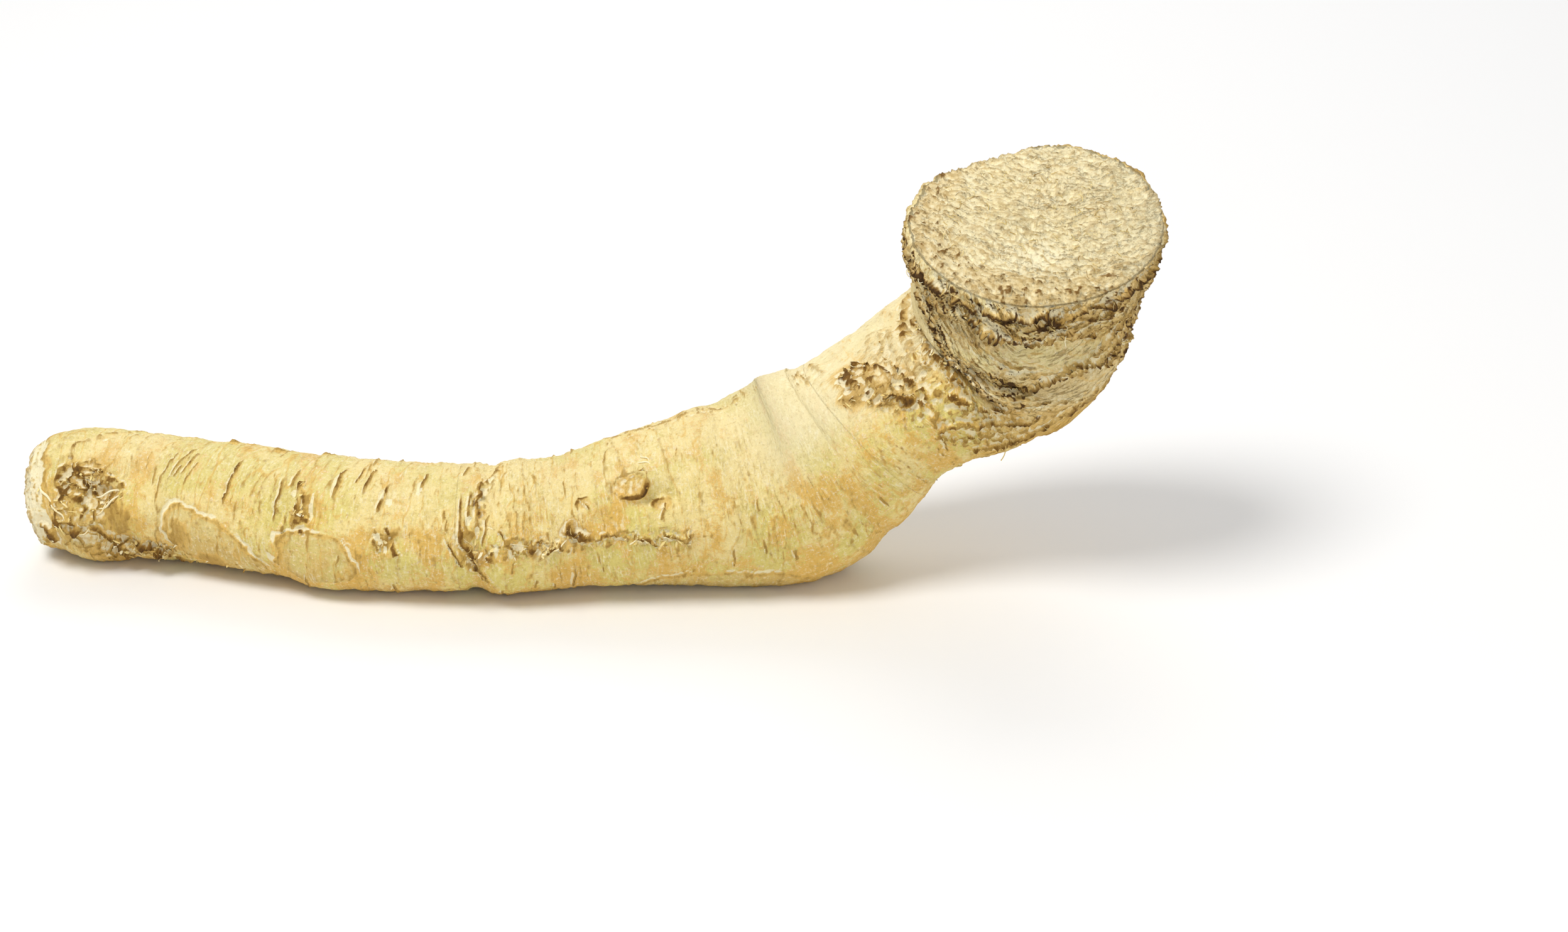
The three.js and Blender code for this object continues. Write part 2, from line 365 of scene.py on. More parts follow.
# Whitish scraps of torn skin beside the scars: s, angle, half length, half width.
SCRAPS = [
    (82, 36, 0.4, 3.4),
    (76.1, 49, 0.6, 0.8),
    (58.2, 57, 0.7, 0.9),
    (57.6, 42, 0.5, 2.4),
    (86.6, 60, 0.5, 3.2),
    (99.2, 53, 0.6, 1.8),
    (101.2, 47, 0.7, 0.8),
    (108.2, 62, 0.6, 2.2),
    (98.6, 16, 0.7, 1.2),
    (99.6, 8, 0.5, 1.6),
    (100.9, 4, 0.5, 1.0),
    (126.4, 75, 0.9, 1.0),
    (124.6, 61, 0.8, 1.0),
    (121.2, 32, 0.7, 1.4),
    (123, 22, 0.5, 1.6),
    (127.4, 7, 0.8, 1.0),
]

# Small domes where shoots began: s, angle, half length, half width, height, and the direction from
# its middle of the gap that undercuts it, painted dark as its shadow, in degrees, 0 towards the
# crown and 90 up the angle.
KNOBS = [
    (164.0, 42.5, 3.7, 2.9, 1.7, -62),
    (171.0, 24, 2.0, 1.6, 0.6, 135),
    (152.0, 37, 2.0, 1.4, 0.5, 120),
    (51.5, 103, 1.3, 1.0, 0.8, 90),
    (66.5, 97, 1.6, 1.2, 0.4, 90),
    (316, -11, 2.4, 2.6, 1.0, 90),
    (210, 205, 3.5, 3.0, 1.3, 60),
    (100, 150, 2.6, 2.4, 0.9, -60),
]

# Crusts of crumbling bark: s, angle, half length along, half width round in mm, strength.
CRUSTS = [
    (14, 36, 7, 5.5, 1.0),
    (18, 20, 5.5, 5.5, 1.0),
    (11, 4, 6, 6, 0.9),
    (13, -18, 6, 7, 0.9),
    (22, -38, 6, 5, 0.9),
    (33, -32, 8, 3.5, 0.9),
    (79, 33, 1.6, 5.5, 0.3),
    (100.6, 10, 1.6, 4.0, 0.35),
    (125, 48, 1.8, 12, 0.25),
    (121, 8, 2.0, 5, 0.25),
    (132, 6, 5, 3.5, 0.5),
    (141, 4, 6, 2.2, 0.45),
    (158, 5, 8, 2.0, 0.45),
    (173, -1, 7, 1.8, 0.4),
    (162.6, 47, 1.4, 1.4, 0.5),
    (170, 98, 8, 2.2, 0.28),
    (184, 95, 8, 2.8, 0.35),
    (197, 91, 4, 2.4, 0.3),
    (231, 80, 4.5, 5, 0.35),
    (149, 9, 3.0, 3.0, 0.6),
    (240.5, 47, 4.5, 6, 1.0),
    (245, 31, 5, 6.5, 1.0),
    (249, 17, 3.5, 4, 0.8),
    (257, 36, 2.6, 8, 0.7),
    (250, 52, 9, 10, 0.35),
    (251, 24, 11, 12, 0.4),
    (256, 0, 10, 12, 0.4),
    (264, -24, 10, 12, 0.35),
    (130, 200, 5, 14, 0.7),
    (20, 190, 9, 7, 0.4),
    (206, 215, 5, 10, 0.7),
    (254, 158, 4, 7, 0.6),
    (263, 205, 4, 8, 0.6),
]

# Where small flakes stand: s, angle, half length and half width in mm, and how thickly.
FLAKY = [
    (20, 30, 7, 6, 0.3),
    (12, 0, 6, 6, 0.2),
    (31, -32, 12, 3.5, 0.6),
    (50, -40, 12, 4, 0.4),
    (79, 30, 1.6, 6, 0.3),
    (100.6, 8, 2, 4, 0.35),
    (124, 8, 3.5, 9, 0.4),
    (136, 5, 8, 4, 0.7),
    (149, 9, 4, 3, 0.45),
    (166, 1, 13, 3, 0.8),
    (168.5, 60, 1.5, 3, 1.0),
    (170, 95, 12, 2.5, 0.5),
    (243, 36, 8, 9, 0.25),
    (256, 32, 3, 14, 0.7),
]

# Places where the outer skin has peeled: s, angle, half length, half width, tilt in degrees.
PEELS = [
    (54, -17, 17, 8.5, -30),
    (83, -12, 11, 8, -4),
    (48, 172, 18, 9, 20),
    (152, 148, 16, 7, -15),
    (182, -60, 22, 9, 8),
    (276, 150, 12, 12, 30),
]

# Loose strands lifted off the skin: s and angle of both ends, radius, how far it bows out, and its
# shade from 0 brown to 1 whitish.
STRAND_STEPS = 10
STRAND_SIDES = 6
STRAND_SUNK = 0.35  # how deep both ends lie in the skin
OUTSIDE = 0.08  # metres from the centreline, past all of the skin
STRANDS = [
    ((18.3, 10), (24.5, 23), 0.32, 0.9, 0.95),
    ((16.5, 21), (24.5, 28), 0.3, 0.9, 0.95),
    ((17.8, 4), (22.0, 19), 0.22, 0.6, 0.85),
    ((22.5, 19), (29.5, 9), 0.18, 0.5, 0.1),
    ((21.5, 15), (28.0, 4), 0.18, 0.5, 0.15),
    ((2.0, 34), (5.5, 14), 0.4, 0.7, 0.95),
    ((5.5, 14), (9.5, -2), 0.35, 0.6, 0.9),
    ((7.5, 22), (12, 2), 0.3, 0.5, 0.8),
    ((166.8, 60), (169.8, 54), 0.22, 0.7, 1.0),
    ((168.0, 66), (169.4, 56), 0.2, 0.9, 1.0),
    ((129.5, 14), (135, 8), 0.25, 0.8, 0.9),
    ((131, 3), (137.5, 7), 0.22, 0.7, 0.95),
    ((125.5, 27), (131, 21), 0.22, 0.6, 0.9),
    ((141, 3), (146, 9), 0.22, 0.8, 0.9),
    ((119.5, 20), (122.5, 6), 0.2, 0.5, 0.8),
    ((256, 43), (259, 27), 0.22, 0.5, 0.95),
    ((294, -20), (290, -34), 0.2, 0.5, 0.95),
    ((296, -30), (291, -44), 0.2, 0.5, 0.95),
    ((286, 2), (293, -16), 0.2, 0.4, 0.9),
]
SEED = 11  # for the marks placed at random
ANY_WAY = 3.1  # radians, so that a scattered shape turns to any side


class RootSizes(PropertyGroup):
    """Sizes that change how rough the root is and what grows on it."""

    bark: FloatProperty(
        name="Bark depth",
        description="How deep the cracks and crumbs of the bark are, as a share of the usual depth",
        default=1.0,
        min=0.0,
        max=2.0,
    )
    fibre: FloatProperty(
        name="Crown fibre depth",
        description="Height of the fibres on the crown's cut face",
        default=0.7 * MM,
        unit="LENGTH",
    )
    crumb: FloatProperty(
        name="Crumb size", description="Radius of the largest crumbs", default=0.45 * MM, unit="LENGTH"
    )
    crumbs: FloatProperty(
        name="Crumbs", description="Crumbs a square centimetre where the bark crumbles most", default=18
    )
    flake: FloatProperty(
        name="Flake length",
        description="Length of the longest skin flakes",
        default=2.0 * MM,
        unit="LENGTH",
    )
    flakes: FloatProperty(
        name="Flakes", description="Flakes a square centimetre along peeled edges", default=70
    )
    rootlet: FloatProperty(
        name="Rootlet length",
        description="Length of the longest rootlets",
        default=4.5 * MM,
        unit="LENGTH",
    )
    rootlet_thickness: FloatProperty(
        name="Rootlet thickness",
        description="Radius at a rootlet's foot",
        default=0.2 * MM,
        unit="LENGTH",
    )
    rootlets: FloatProperty(
        name="Rootlets", description="Rootlets a square centimetre of cracked bark", default=5
    )
    thread: FloatProperty(
        name="Fibre length",
        description="Length of the longest torn fibres",
        default=3.0 * MM,
        unit="LENGTH",
    )
    thread_thickness: FloatProperty(
        name="Fibre thickness",
        description="Radius at a fibre's foot",
        default=0.13 * MM,
        unit="LENGTH",
    )
    threads: FloatProperty(
        name="Fibres", description="Fibres a square centimetre of torn skin", default=30
    )


class RootColours(PropertyGroup):
    """Colours of the skin and of the cut face."""

    cream: FloatVectorProperty(
        name="Cream", description="The pale skin", subtype="COLOR", default=(0.88, 0.71, 0.30)
    )
    straw: FloatVectorProperty(
        name="Straw", description="The yellow-green skin", subtype="COLOR", default=(0.76, 0.64, 0.195)
    )
    amber: FloatVectorProperty(
        name="Amber", description="Orange-tan stains", subtype="COLOR", default=(0.78, 0.49, 0.115)
    )
    tan: FloatVectorProperty(
        name="Tan", description="Dull, weathered skin", subtype="COLOR", default=(0.66, 0.52, 0.20)
    )
    pale: FloatVectorProperty(
        name="Pale",
        description="Whitish flecks and curled edges",
        subtype="COLOR",
        default=(0.95, 0.87, 0.60),
    )
    bark: FloatVectorProperty(
        name="Bark", description="Brown lines and hollows", subtype="COLOR", default=(0.42, 0.25, 0.055)
    )
    root_brown: FloatVectorProperty(
        name="Root brown",
        description="The dark of shallow cracks",
        subtype="COLOR",
        default=(0.2, 0.092, 0.012),
    )
    earth: FloatVectorProperty(
        name="Earth", description="The dark of deep pits", subtype="COLOR", default=(0.06, 0.028, 0.008)
    )
    flesh: FloatVectorProperty(
        name="Flesh", description="The cut faces", subtype="COLOR", default=(0.89, 0.785, 0.49)
    )


def hashed(cell, seed):
    """A random share for each whole-number cell."""
    x, y, z = (cell[..., axis].astype(np.uint32) for axis in range(3))
    mixed = x * np.uint32(73856093) ^ y * np.uint32(19349663) ^ z * np.uint32(83492791)
    mixed = mixed ^ np.uint32((seed * 2654435761 + 97) % 2**32)
    mixed = (mixed ^ (mixed >> np.uint32(13))) * np.uint32(1274126177)
    mixed = (mixed ^ (mixed >> np.uint32(15))) * np.uint32(2246822519)
    return (mixed ^ (mixed >> np.uint32(16))) / 2.0**32


def noise(points, size, seed=0):
    """Smooth noise from about -1 to 1, in lumps of a size given for all axes or for each."""
    place = points / np.asarray(size, float)
    cell = np.floor(place).astype(np.int64)
    part = place - cell
    fade = part**3 * (part * (part * 6 - 15) + 10)
    total = 0.0
    for corner in np.ndindex(2, 2, 2):
        offset = np.array(corner)
        weight = np.prod(np.where(offset == 1, fade, 1 - fade), -1)
        slope = [2 * hashed(cell + offset, seed * 3 + axis) - 1 for axis in range(3)]
        total = total + weight * sum(slope[axis] * (part - offset)[..., axis] for axis in range(3))
    return total * 1.7


def fractal(points, size, octaves=3, seed=0):
    """Noise with finer noise added, each octave half the size and height of the last."""
    size = np.asarray(size, float)
    return sum(noise(points, size / 2**i, seed + i) / 2**i for i in range(octaves))


def crumbs(points, size, seed=0):
    """Distance to the nearest and second nearest crumb centre in crumb sizes, and a share a crumb."""
    place = points / np.asarray(size, float)
    cell = np.floor(place).astype(np.int64)
    nearest = np.full(place.shape[:-1], 9.0)
    second, tone = nearest.copy(), nearest.copy()
    for corner in np.ndindex(3, 3, 3):
        near = cell + np.array(corner) - 1
        shares = [hashed(near, seed * 3 + axis) for axis in range(3)]
        gap = np.linalg.norm(place - near - np.stack(shares, -1), axis=-1)
        second = np.minimum(second, np.maximum(nearest, gap))
        tone = np.where(gap < nearest, (shares[0] * 7 + shares[1] * 5) % 1, tone)
        nearest = np.minimum(nearest, gap)
    return nearest, second, tone


def smooth(value, low, high):
    """0 below low, 1 above high, and a smooth step between."""
    share = np.clip((value - low) / (high - low), 0, 1)
    return share * share * (3 - 2 * share)


def below(value, level, over):
    """0 at a level and above, and 1 from so far below it on, with a smooth step between."""
    return smooth(level - value, 0, over)


def creases(points, size, seed=0):
    """Rounded ridges with sharp valleys between them, from 0 in a valley to about 1."""
    coarse = np.abs(noise(points, size, seed))
    fine = np.abs(noise(points, np.asarray(size, float) / 2.1, seed + 1))
    return np.clip(1.9 * coarse * (0.75 + 0.9 * fine), 0, 1.2)


def bell(offset, width):
    """1 in the middle, falling away smoothly on both sides."""
    return np.exp(-((offset / width) ** 2))


def turned(angle):
    """An angle in degrees, brought to -180 to 180."""
    return (np.asarray(angle, float) + 180) % 360 - 180


def drawn(pick, count, *spans):
    """So many lists of values, each value drawn between its least and most."""
    for _ in range(count):
        yield [pick.uniform(*span) for span in spans]


def weights_for(reach):
    """Steps to the neighbours that a blur of such a reach takes in, and the weight of each."""
    steps = np.arange(-math.ceil(2 * reach), math.ceil(2 * reach) + 1)
    weights = np.exp(-((steps / reach) ** 2))
    return steps, weights / weights.sum()


def blurred(heights, rows_reach, sides_reach):
    """Heights over rows and sides, smoothed over so many of each."""
    steps, weights = weights_for(rows_reach)
    most = steps[-1]
    padded = np.pad(heights, ((most, most), (0, 0)), "edge")
    starts = most + steps
    rows = sum(w * padded[start : start + len(heights)] for w, start in zip(weights, starts))
    steps, weights = weights_for(sides_reach)
    return sum(w * np.roll(rows, step, 1) for w, step in zip(weights, steps))


def along_curve(values, t):
    """Points of the Catmull-Rom curve through values, and its slopes, at shares t of its spans."""
    values = np.asarray(values, float)
    ends = np.vstack([2 * values[0] - values[1], values, 2 * values[-1] - values[-2]])
    place = np.clip(t, 0, 1) * (len(values) - 1)
    span = np.minimum(place.astype(int), len(values) - 2)
    w = (place - span)[:, None]
    before, start, end, after = (ends[span + i] for i in range(4))
    leave, arrive = (end - before) / 2, (after - start) / 2
    a = 2 * start - 2 * end + leave + arrive
    b = -3 * start + 3 * end - 2 * leave - arrive
    return ((a * w + b) * w + leave) * w + start, (3 * a * w + 2 * b) * w + leave


class Sweep:
    """The plain surface of a stretch of the root, as rows of points. An end of the root is cut."""

    def __init__(self, first, last, row_gap, sides):
        t = np.linspace(0, 1, CURVE_STEPS)
        points, _ = along_curve([at for at, _ in STATIONS], t)
        lengths = np.concatenate([[0], np.cumsum(np.linalg.norm(np.diff(points, axis=0), axis=1))])
        self.length = lengths[-1]
        self.has_tail, self.has_crown = first <= 0, last >= self.length
        first, last = max(first, 0), min(last, self.length)
        side_s = np.linspace(first, last, round((last - first) / row_gap) + 1)
        tail_share, tail_lift = self.cut(TAIL_CUT_ROWS, TAIL_DOME) if self.has_tail else ([], [])
        crown_share, crown_lift = self.cut(CROWN_CUT_ROWS, CROWN_DOME) if self.has_crown else ([], [])
        ones = np.ones(len(side_s))
        crown_s = np.full(len(crown_share), self.length)
        self.s = np.concatenate([np.zeros(len(tail_share)), side_s, crown_s])
        self.share = np.concatenate([tail_share[::-1], ones, crown_share])
        self.lift = np.concatenate([-np.asarray(tail_lift)[::-1], 0 * ones, crown_lift])
        self.is_tail = np.arange(len(self.s)) < len(tail_share)
        self.is_crown = np.arange(len(self.s)) >= len(tail_share) + len(side_s)
        self.row_gap, self.sides = row_gap, sides
        self.angle = np.arange(sides) * 360 / sides
        share = np.interp(self.s, lengths, t)
        centre, slope = along_curve([at for at, _ in STATIONS], share)
        self.half, _ = along_curve([half for _, half in STATIONS], share)
        self.along = slope / np.linalg.norm(slope, axis=1, keepdims=True)
        forward = np.array([0.0, -1.0, 0.0])
        front = forward - self.along * (self.along @ forward)[:, None]
        self.front = front / np.linalg.norm(front, axis=1, keepdims=True)
        self.inner = np.cross(self.front, self.along)
        self.centre = centre + self.along * self.lift[:, None]

    @staticmethod
    def cut(count, dome):
        """Shares of the rim's size, from just inside the rim to near the middle, and their lifts."""
        rim = 1 - RIM_SHARE * (np.arange(1, RIM_ROWS + 1) / RIM_ROWS) ** 2
        share = np.concatenate([rim, np.linspace(1 - RIM_SHARE, 0, count - RIM_ROWS + 1)[1:-1]])
        return share, dome * (1 - share**2) + RIM_ROUND * np.sqrt(1 - share**8)

    def plain(self):
        """Reach of every point from the centreline, with the solid's own relief."""
        s, angle = self.s[:, None], self.angle[None, :]
        a = np.radians(angle)
        across, up = self.half[:, :1], self.half[:, 1:]
        skew = CROWN_SKEW * smooth(s, SKEW_FROM, SKEW_FROM + SKEW_OVER)
        reach = (1 + skew * np.sin(2 * a)) / np.hypot(np.cos(a) / across, np.sin(a) / up)
        for at, towards, long, wide, height in LUMPS + DENTS:
            reach = reach + height * bell(s - at, long) * bell(turned(angle - towards), wide)
        for at, towards, round_, slant, width, height in RINGS:
            away = turned(angle - towards)
            reach = reach + height * bell(s - at - slant * away, width) * bell(away, round_)
        return reach * self.share[:, None]

    def points(self, reach):
        """Every point, at such a reach from the centreline."""
        a = np.radians(self.angle)[None, :, None]
        spokes = self.front[:, None] * np.cos(a) + self.inner[:, None] * np.sin(a)
        return self.centre[:, None] + spokes * reach[..., None]

    def grain(self, reach):
        """Every point's place in the root as if it were pulled straight, in millimetres."""
        a = np.radians(self.angle)
        s = (self.s + self.lift)[:, None] + 0 * a
        return np.stack([s, reach * np.cos(a), reach * np.sin(a)], -1)


def outward(points):
    """Normals of rows of points that close round the root."""
    along = np.gradient(points, axis=0)
    around = np.roll(points, -1, 1) - np.roll(points, 1, 1)
    normal = np.cross(around, along)
    return normal / np.maximum(np.linalg.norm(normal, axis=-1, keepdims=True), 1e-9)


class Relief:
    """Heights and marks of the skin over the sweep."""

    # What the material reads, from 0 up, and each feature of the skin may raise.
    # The stain mark carries real stains and painted shade alike.
    COLOURED = ("dark", "pale", "stain", "crust", "peel", "worn", "bleach")
    # How thickly crumbs, flakes, rootlets and fibres grow.
    GROWN = ("loose", "curl", "sprout", "torn")
    # What else the material reads.
    TOLD = ("face", "hollow", "collar", "upward")
    NUMBERS = (*COLOURED, *GROWN, *TOLD)
    PLACES = ("grain", "weave")

    def __init__(self, sweep, depth):
        self.sweep, self.depth = sweep, depth
        self.reach = sweep.plain()
        self.grain = sweep.grain(self.reach)
        self.s = (sweep.s + sweep.lift)[:, None] + 0 * self.reach
        self.angle = sweep.angle[None, :] + 0 * self.reach
        self.upward, self.forward = np.sin(np.radians(self.angle)), self.towards(0)
        self.height = np.zeros_like(self.reach)
        for mark in self.COLOURED:
            setattr(self, mark, np.zeros_like(self.reach))
        self.face = smooth(-sweep.share, -1.0, -0.97)[:, None] + 0 * self.reach
        self.side = 1 - self.face
        self.sway, self.sway_round = (
            0.9 * noise(self.grain, 3.2, seed) + 0.35 * noise(self.grain, 1.3, seed + 1)
            for seed in (1, 3)
        )
        self.wander = fractal(self.grain, 9, 3, seed=5)
        self.breaks = fractal(self.grain, 2.0, 2, seed=8)
        drape = np.interp(turned(self.angle), *zip(*DRAPE))
        self.fold_s = self.s - drape * smooth(self.s, *DRAPED)
        faced = 0.45 + 0.55 * smooth(self.forward, -0.3, 0.4)
        self.collar = smooth(self.fold_s + 2 * self.wander, *COLLAR) * self.side * faced
        patchy = 0.2 + 0.8 * smooth(fractal(self.grain, 15, 2, seed=75), -0.35, 0.25)
        patchy *= 1 - 0.75 * smooth(self.towards(75), 0.2, 0.7)
        bent = smooth(self.s + 7 * self.wander, *ELBOW) * (faced - self.collar)
        self.elbow = bent * self.side * patchy
        self.weave = self.hanging(0.22)

    def towards(self, angle):
        """How far each point is on the side at an angle: 1 there, -1 on the far side."""
        return np.cos(np.radians(self.angle - angle))

    def hanging(self, share):
        """Places that follow the hanging folds, with only a share of the distances across the root."""
        return np.stack([self.fold_s, share * self.grain[..., 1], share * self.grain[..., 2]], -1)

    def rows_near(self, first, last):
        """The rows from one s to another, with room for what reaches past them, or None."""
        near = (self.sweep.s > first - MARK_MARGIN) & (self.sweep.s < last + MARK_MARGIN)
        near &= ~(self.sweep.is_tail | self.sweep.is_crown)
        places = np.flatnonzero(near)
        return slice(places[0], places[-1] + 1) if len(places) else None

    def across(self, rows, angle):
        """Distance round the root from an angle, in millimetres."""
        return np.radians(turned(self.angle[rows] - angle)) * np.maximum(self.reach[rows], 1.0)

    def raise_mark(self, mark, value, rows=slice(None)):
        """Brings a mark up to a value wherever it is lower."""
        marks = getattr(self, mark)
        marks[rows] = np.maximum(marks[rows], value)

    def furrow(self, rows, gap, share, width, depth, lip, offside=None):
        """Presses a groove where gap is small, with a thin raised lip and torn skin beside it.

        A slit has its lip only where offside is over 0, and none on the top outline."""
        share = share * self.side[rows]
        groove = bell(gap, width) * share
        lipped = share * (1 if offside is None else smooth(offside, -0.2, 0.4))
        edge = bell(np.abs(gap) - 1.6 * width, np.maximum(0.55 * width, 0.28)) * lipped
        breaks = self.breaks[rows]
        self.height[rows] -= depth * self.depth * groove
        crest = smooth(self.upward[rows], 0.7, 0.95) * (offside is not None)
        self.height[rows] += lip * self.depth * edge * (0.6 + 0.7 * breaks) * (1 - 0.85 * crest)
        base, most, whitened = (0.35, 1.0, 1.4) if offside is None else (0.8, 1.2, 2.2)
        darkened = min(most, 0.42 + 0.42 * depth + 0.15 * (depth > 0.85))
        self.raise_mark("dark", groove * darkened * np.clip(0.85 + 0.5 * breaks, 0, 1), rows)
        self.raise_mark("pale", edge * np.clip(base + 0.8 * breaks, 0, 1) * min(1, whitened * lip), rows)
        self.raise_mark("stain", bell(gap, 2.2 * width) * share * min(1, 0.25 + 0.3 * depth), rows)

    def slit(self, at, angle, half, depth, slant=0.0, width=0.0):
        """A slit round the root, with its lip on the tail's side."""
        drift = abs(slant) * 20  # over 20 degrees
        rows = self.rows_near(at - drift, at + drift)
        if rows is None:
            return
        away = turned(self.angle[rows] - angle)
        gap = self.s[rows] - at + self.sway[rows] * 0.45 - slant * away
        share = smooth(1 - np.abs(self.across(rows, angle) + self.sway_round[rows]) / half, 0, 0.5)
        width = width or 0.24 + 0.1 * depth
        self.furrow(rows, gap, share, width, depth, 0.6 * depth, -gap)

    def crack(self, path, width, depth, lip, threads=0.0):
        """A ragged groove along a path of s and angle points, made of pits of uneven depth."""
        rows = self.rows_near(min(s for s, _ in path), max(s for s, _ in path))
        if rows is None:
            return
        middle = path[len(path) // 2][1]
        u = self.s[rows] + 1.2 * self.sway[rows]
        v = self.across(rows, middle) + 1.2 * self.sway_round[rows]
        best = np.full_like(u, 1e9)
        run, done = np.zeros_like(u), 0.0
        scale = np.radians(1) * np.maximum(self.reach[rows], 1.0)
        for (s0, a0), (s1, a1) in zip(path, path[1:]):
            v0, v1 = turned(a0 - middle) * scale, turned(a1 - middle) * scale
            du, dv = s1 - s0, v1 - v0
            part = np.clip(((u - s0) * du + (v - v0) * dv) / (du**2 + dv**2), 0, 1)
            away = np.hypot(u - s0 - part * du, v - v0 - part * dv)
            run = np.where(away < best, done + part * np.hypot(du, dv), run)
            done = done + np.hypot(du, dv)
            best = np.minimum(best, away)
        share = np.clip(0.7 + 0.75 * self.breaks[rows], 0.1, 1)
        if threads:
            bridged = smooth(np.cos(2 * math.pi * run / threads + 2.5 * self.wander[rows]), 0.2, 0.9)
            share = np.clip(share + 0.35, 0, 1) * (1 - 0.75 * bridged)
            self.raise_mark("pale", 0.9 * bridged * bell(best, 1.3 * width), rows)
        self.furrow(rows, best, share, width * (1 + 0.35 * self.wander[rows]), depth, lip)

    def spots(self, table, stray, stray_round):
        """Each spot of a table that is on this skin: its rows, the distance of each point from its
        middle along and round the root, which strays at random, and the rest of its values."""
        for at, angle, long, *rest in table:
            rows = self.rows_near(at - long, at + long)
            if rows is not None:
                u = self.s[rows] - at + stray * self.sway[rows]
                v = self.across(rows, angle) + stray_round * self.sway_round[rows]
                yield rows, u, v, long, *rest

    def patches(self, table, tilted=False, ragged=1.0):
        """Each oval patch of a table that is on this skin: its values, its rows, and how far inside
        its wandering edge each point is, in mm. The last value of a tilted one is its tilt."""
        for patch in table:
            at, angle, long, wide, last = patch
            rows = self.rows_near(at - long - 4, at + long + 4)
            if rows is None:
                continue
            u = self.s[rows] - at + 2.4 * self.wander[rows] + ragged * self.sway[rows]
            v = self.across(rows, angle) + 1.8 * ragged * self.sway_round[rows]
            tilt = math.radians(last if tilted else 0)
            c, d = math.cos(tilt), math.sin(tilt)
            u, v = u * c + v * d, v * c - u * d
            yield patch, rows, (1 - np.hypot(u / long, v / wide)) * min(long, wide)

    def weather(self):
        """Lumps and wrinkles that run round the root, all over the skin."""
        shoulder = smooth(self.s, *SHOULDER) * (1 - self.elbow) * (1 - self.collar)
        shoulder = shoulder * smooth(self.upward, 0.15, 0.7)
        streaked = smooth(fractal(self.grain, (9, 16, 16), 2, seed=28), 0.0, 0.5) * (1 - shoulder)
        swayed = self.grain + self.sway[..., None] * 0.5
        wrinkles = creases(swayed, (1.7, 8, 8), seed=30)
        rings = creases(swayed, (4.5, 22, 22), seed=62)
        valleys = np.maximum(below(wrinkles, 0.22, 0.2) * streaked, 0.8 * below(rings, 0.12, 0.12))
        calmed = 0.85 * smooth(self.s, *CALM) * (1 - 0.7 * smooth(self.s, *ROUGH_AGAIN))
        calm = 1 - calmed * (shoulder > 0)
        valleys *= calm
        self.height += self.side * (
            0.35 * fractal(self.grain, 14, 2, seed=36)
            + 0.33 * (wrinkles - 0.5) * (0.15 + streaked)
            + 0.3 * (rings - 0.5) * calm
            + 0.16 * fractal(self.grain, 1.7, 2, seed=40)
        )
        self.raise_mark("stain", 0.75 * valleys * self.side)
        age = 0.6 * below(self.grain[..., 0], *DULL_TAIL) + smooth(self.grain[..., 0], *OLD_CROWN)
        patchy = 0.5 * fractal(self.grain, 12, 2, seed=44) * (age > 0)
        self.worn = np.clip(age + patchy, 0, 1) * self.side
        # Paler on the shoulder's own pale skin, and paler towards the top all along as painted light.
        self.bleach = np.clip(0.9 * shoulder + 0.3 * smooth(self.upward, 0.4, 1.0), 0, 1) * self.side

    def fold(self):
        """The collar's folds, which hang round the bend, and the elbow's, which run along it."""
        angle, wide, share = CALMER_SIDE
        calm = share * bell(turned(self.angle - angle), wide) * smooth(self.s, *CALMER_FROM)
        for at, angle, long, wide, share in PANELS:
            offset = np.hypot((self.s + self.sway - at) / long, turned(self.angle - angle) / wide)
            calm = np.maximum(calm, share * smooth(1.4 - offset + 0.3 * self.wander, 0, 0.5))
        wild = self.collar * (1 - calm)
        flow = self.hanging(0.13)
        flow[..., 0] += 0.9 * self.sway
        hung = creases(flow, 2.7, seed=33)
        fine = creases((flow + 0.35 * self.sway_round[..., None]) * (1, 2, 2), 1.3, seed=46)
        crumbly = creases(self.grain + 0.4 * self.sway[..., None], 1.9, seed=45)
        folds = 1.5 * (hung - 0.5) + 0.8 * (fine - 0.5) + 0.6 * (crumbly - 0.5)
        self.height += self.depth * wild * folds
        small = np.maximum(below(fine, 0.15, 0.11), below(crumbly, 0.11, 0.1))
        valleys = np.maximum(below(hung, 0.17, 0.11), 0.85 * small) * wild
        run = [0.12 * self.s, self.grain[..., 1] * 0.8, self.grain[..., 2] + 0.25 * self.s]
        along = creases(np.stack(run, -1) + 0.6 * self.sway[..., None], 2.7, seed=48)
        self.height += self.depth * self.elbow * 0.75 * (along - 0.5)
        valleys = np.maximum(valleys, 0.6 * below(along, 0.2, 0.18) * self.elbow)
        torn = smooth(self.breaks + 0.6 * self.wander, -0.6, 0.2)
        self.raise_mark("dark", 1.2 * valleys * torn)
        self.raise_mark("stain", 0.8 * valleys)
        self.raise_mark("bleach", 0.6 * calm * self.collar)
        self.worn *= 1 - 0.4 * calm * self.collar
        # Painted shade: amber on the underside of the collar, under the crown's overhang.
        under = smooth(-np.sin(np.radians(self.angle - 5)), -0.1, 0.4)
        under = under * smooth(self.s, *SHADED_UNDER) * self.side
        self.raise_mark("stain", 0.85 * under * smooth(self.wander, -0.9, 0.2) * (1 - calm))
        self.height += 0.12 * calm * self.collar * fine
        self.collar = self.collar * (1 - 0.6 * calm)
        crests = np.maximum(smooth(hung, 0.7, 1.0) * wild, 0.5 * smooth(along, 0.7, 1.0) * self.elbow)
        self.raise_mark("pale", 0.85 * crests * torn)

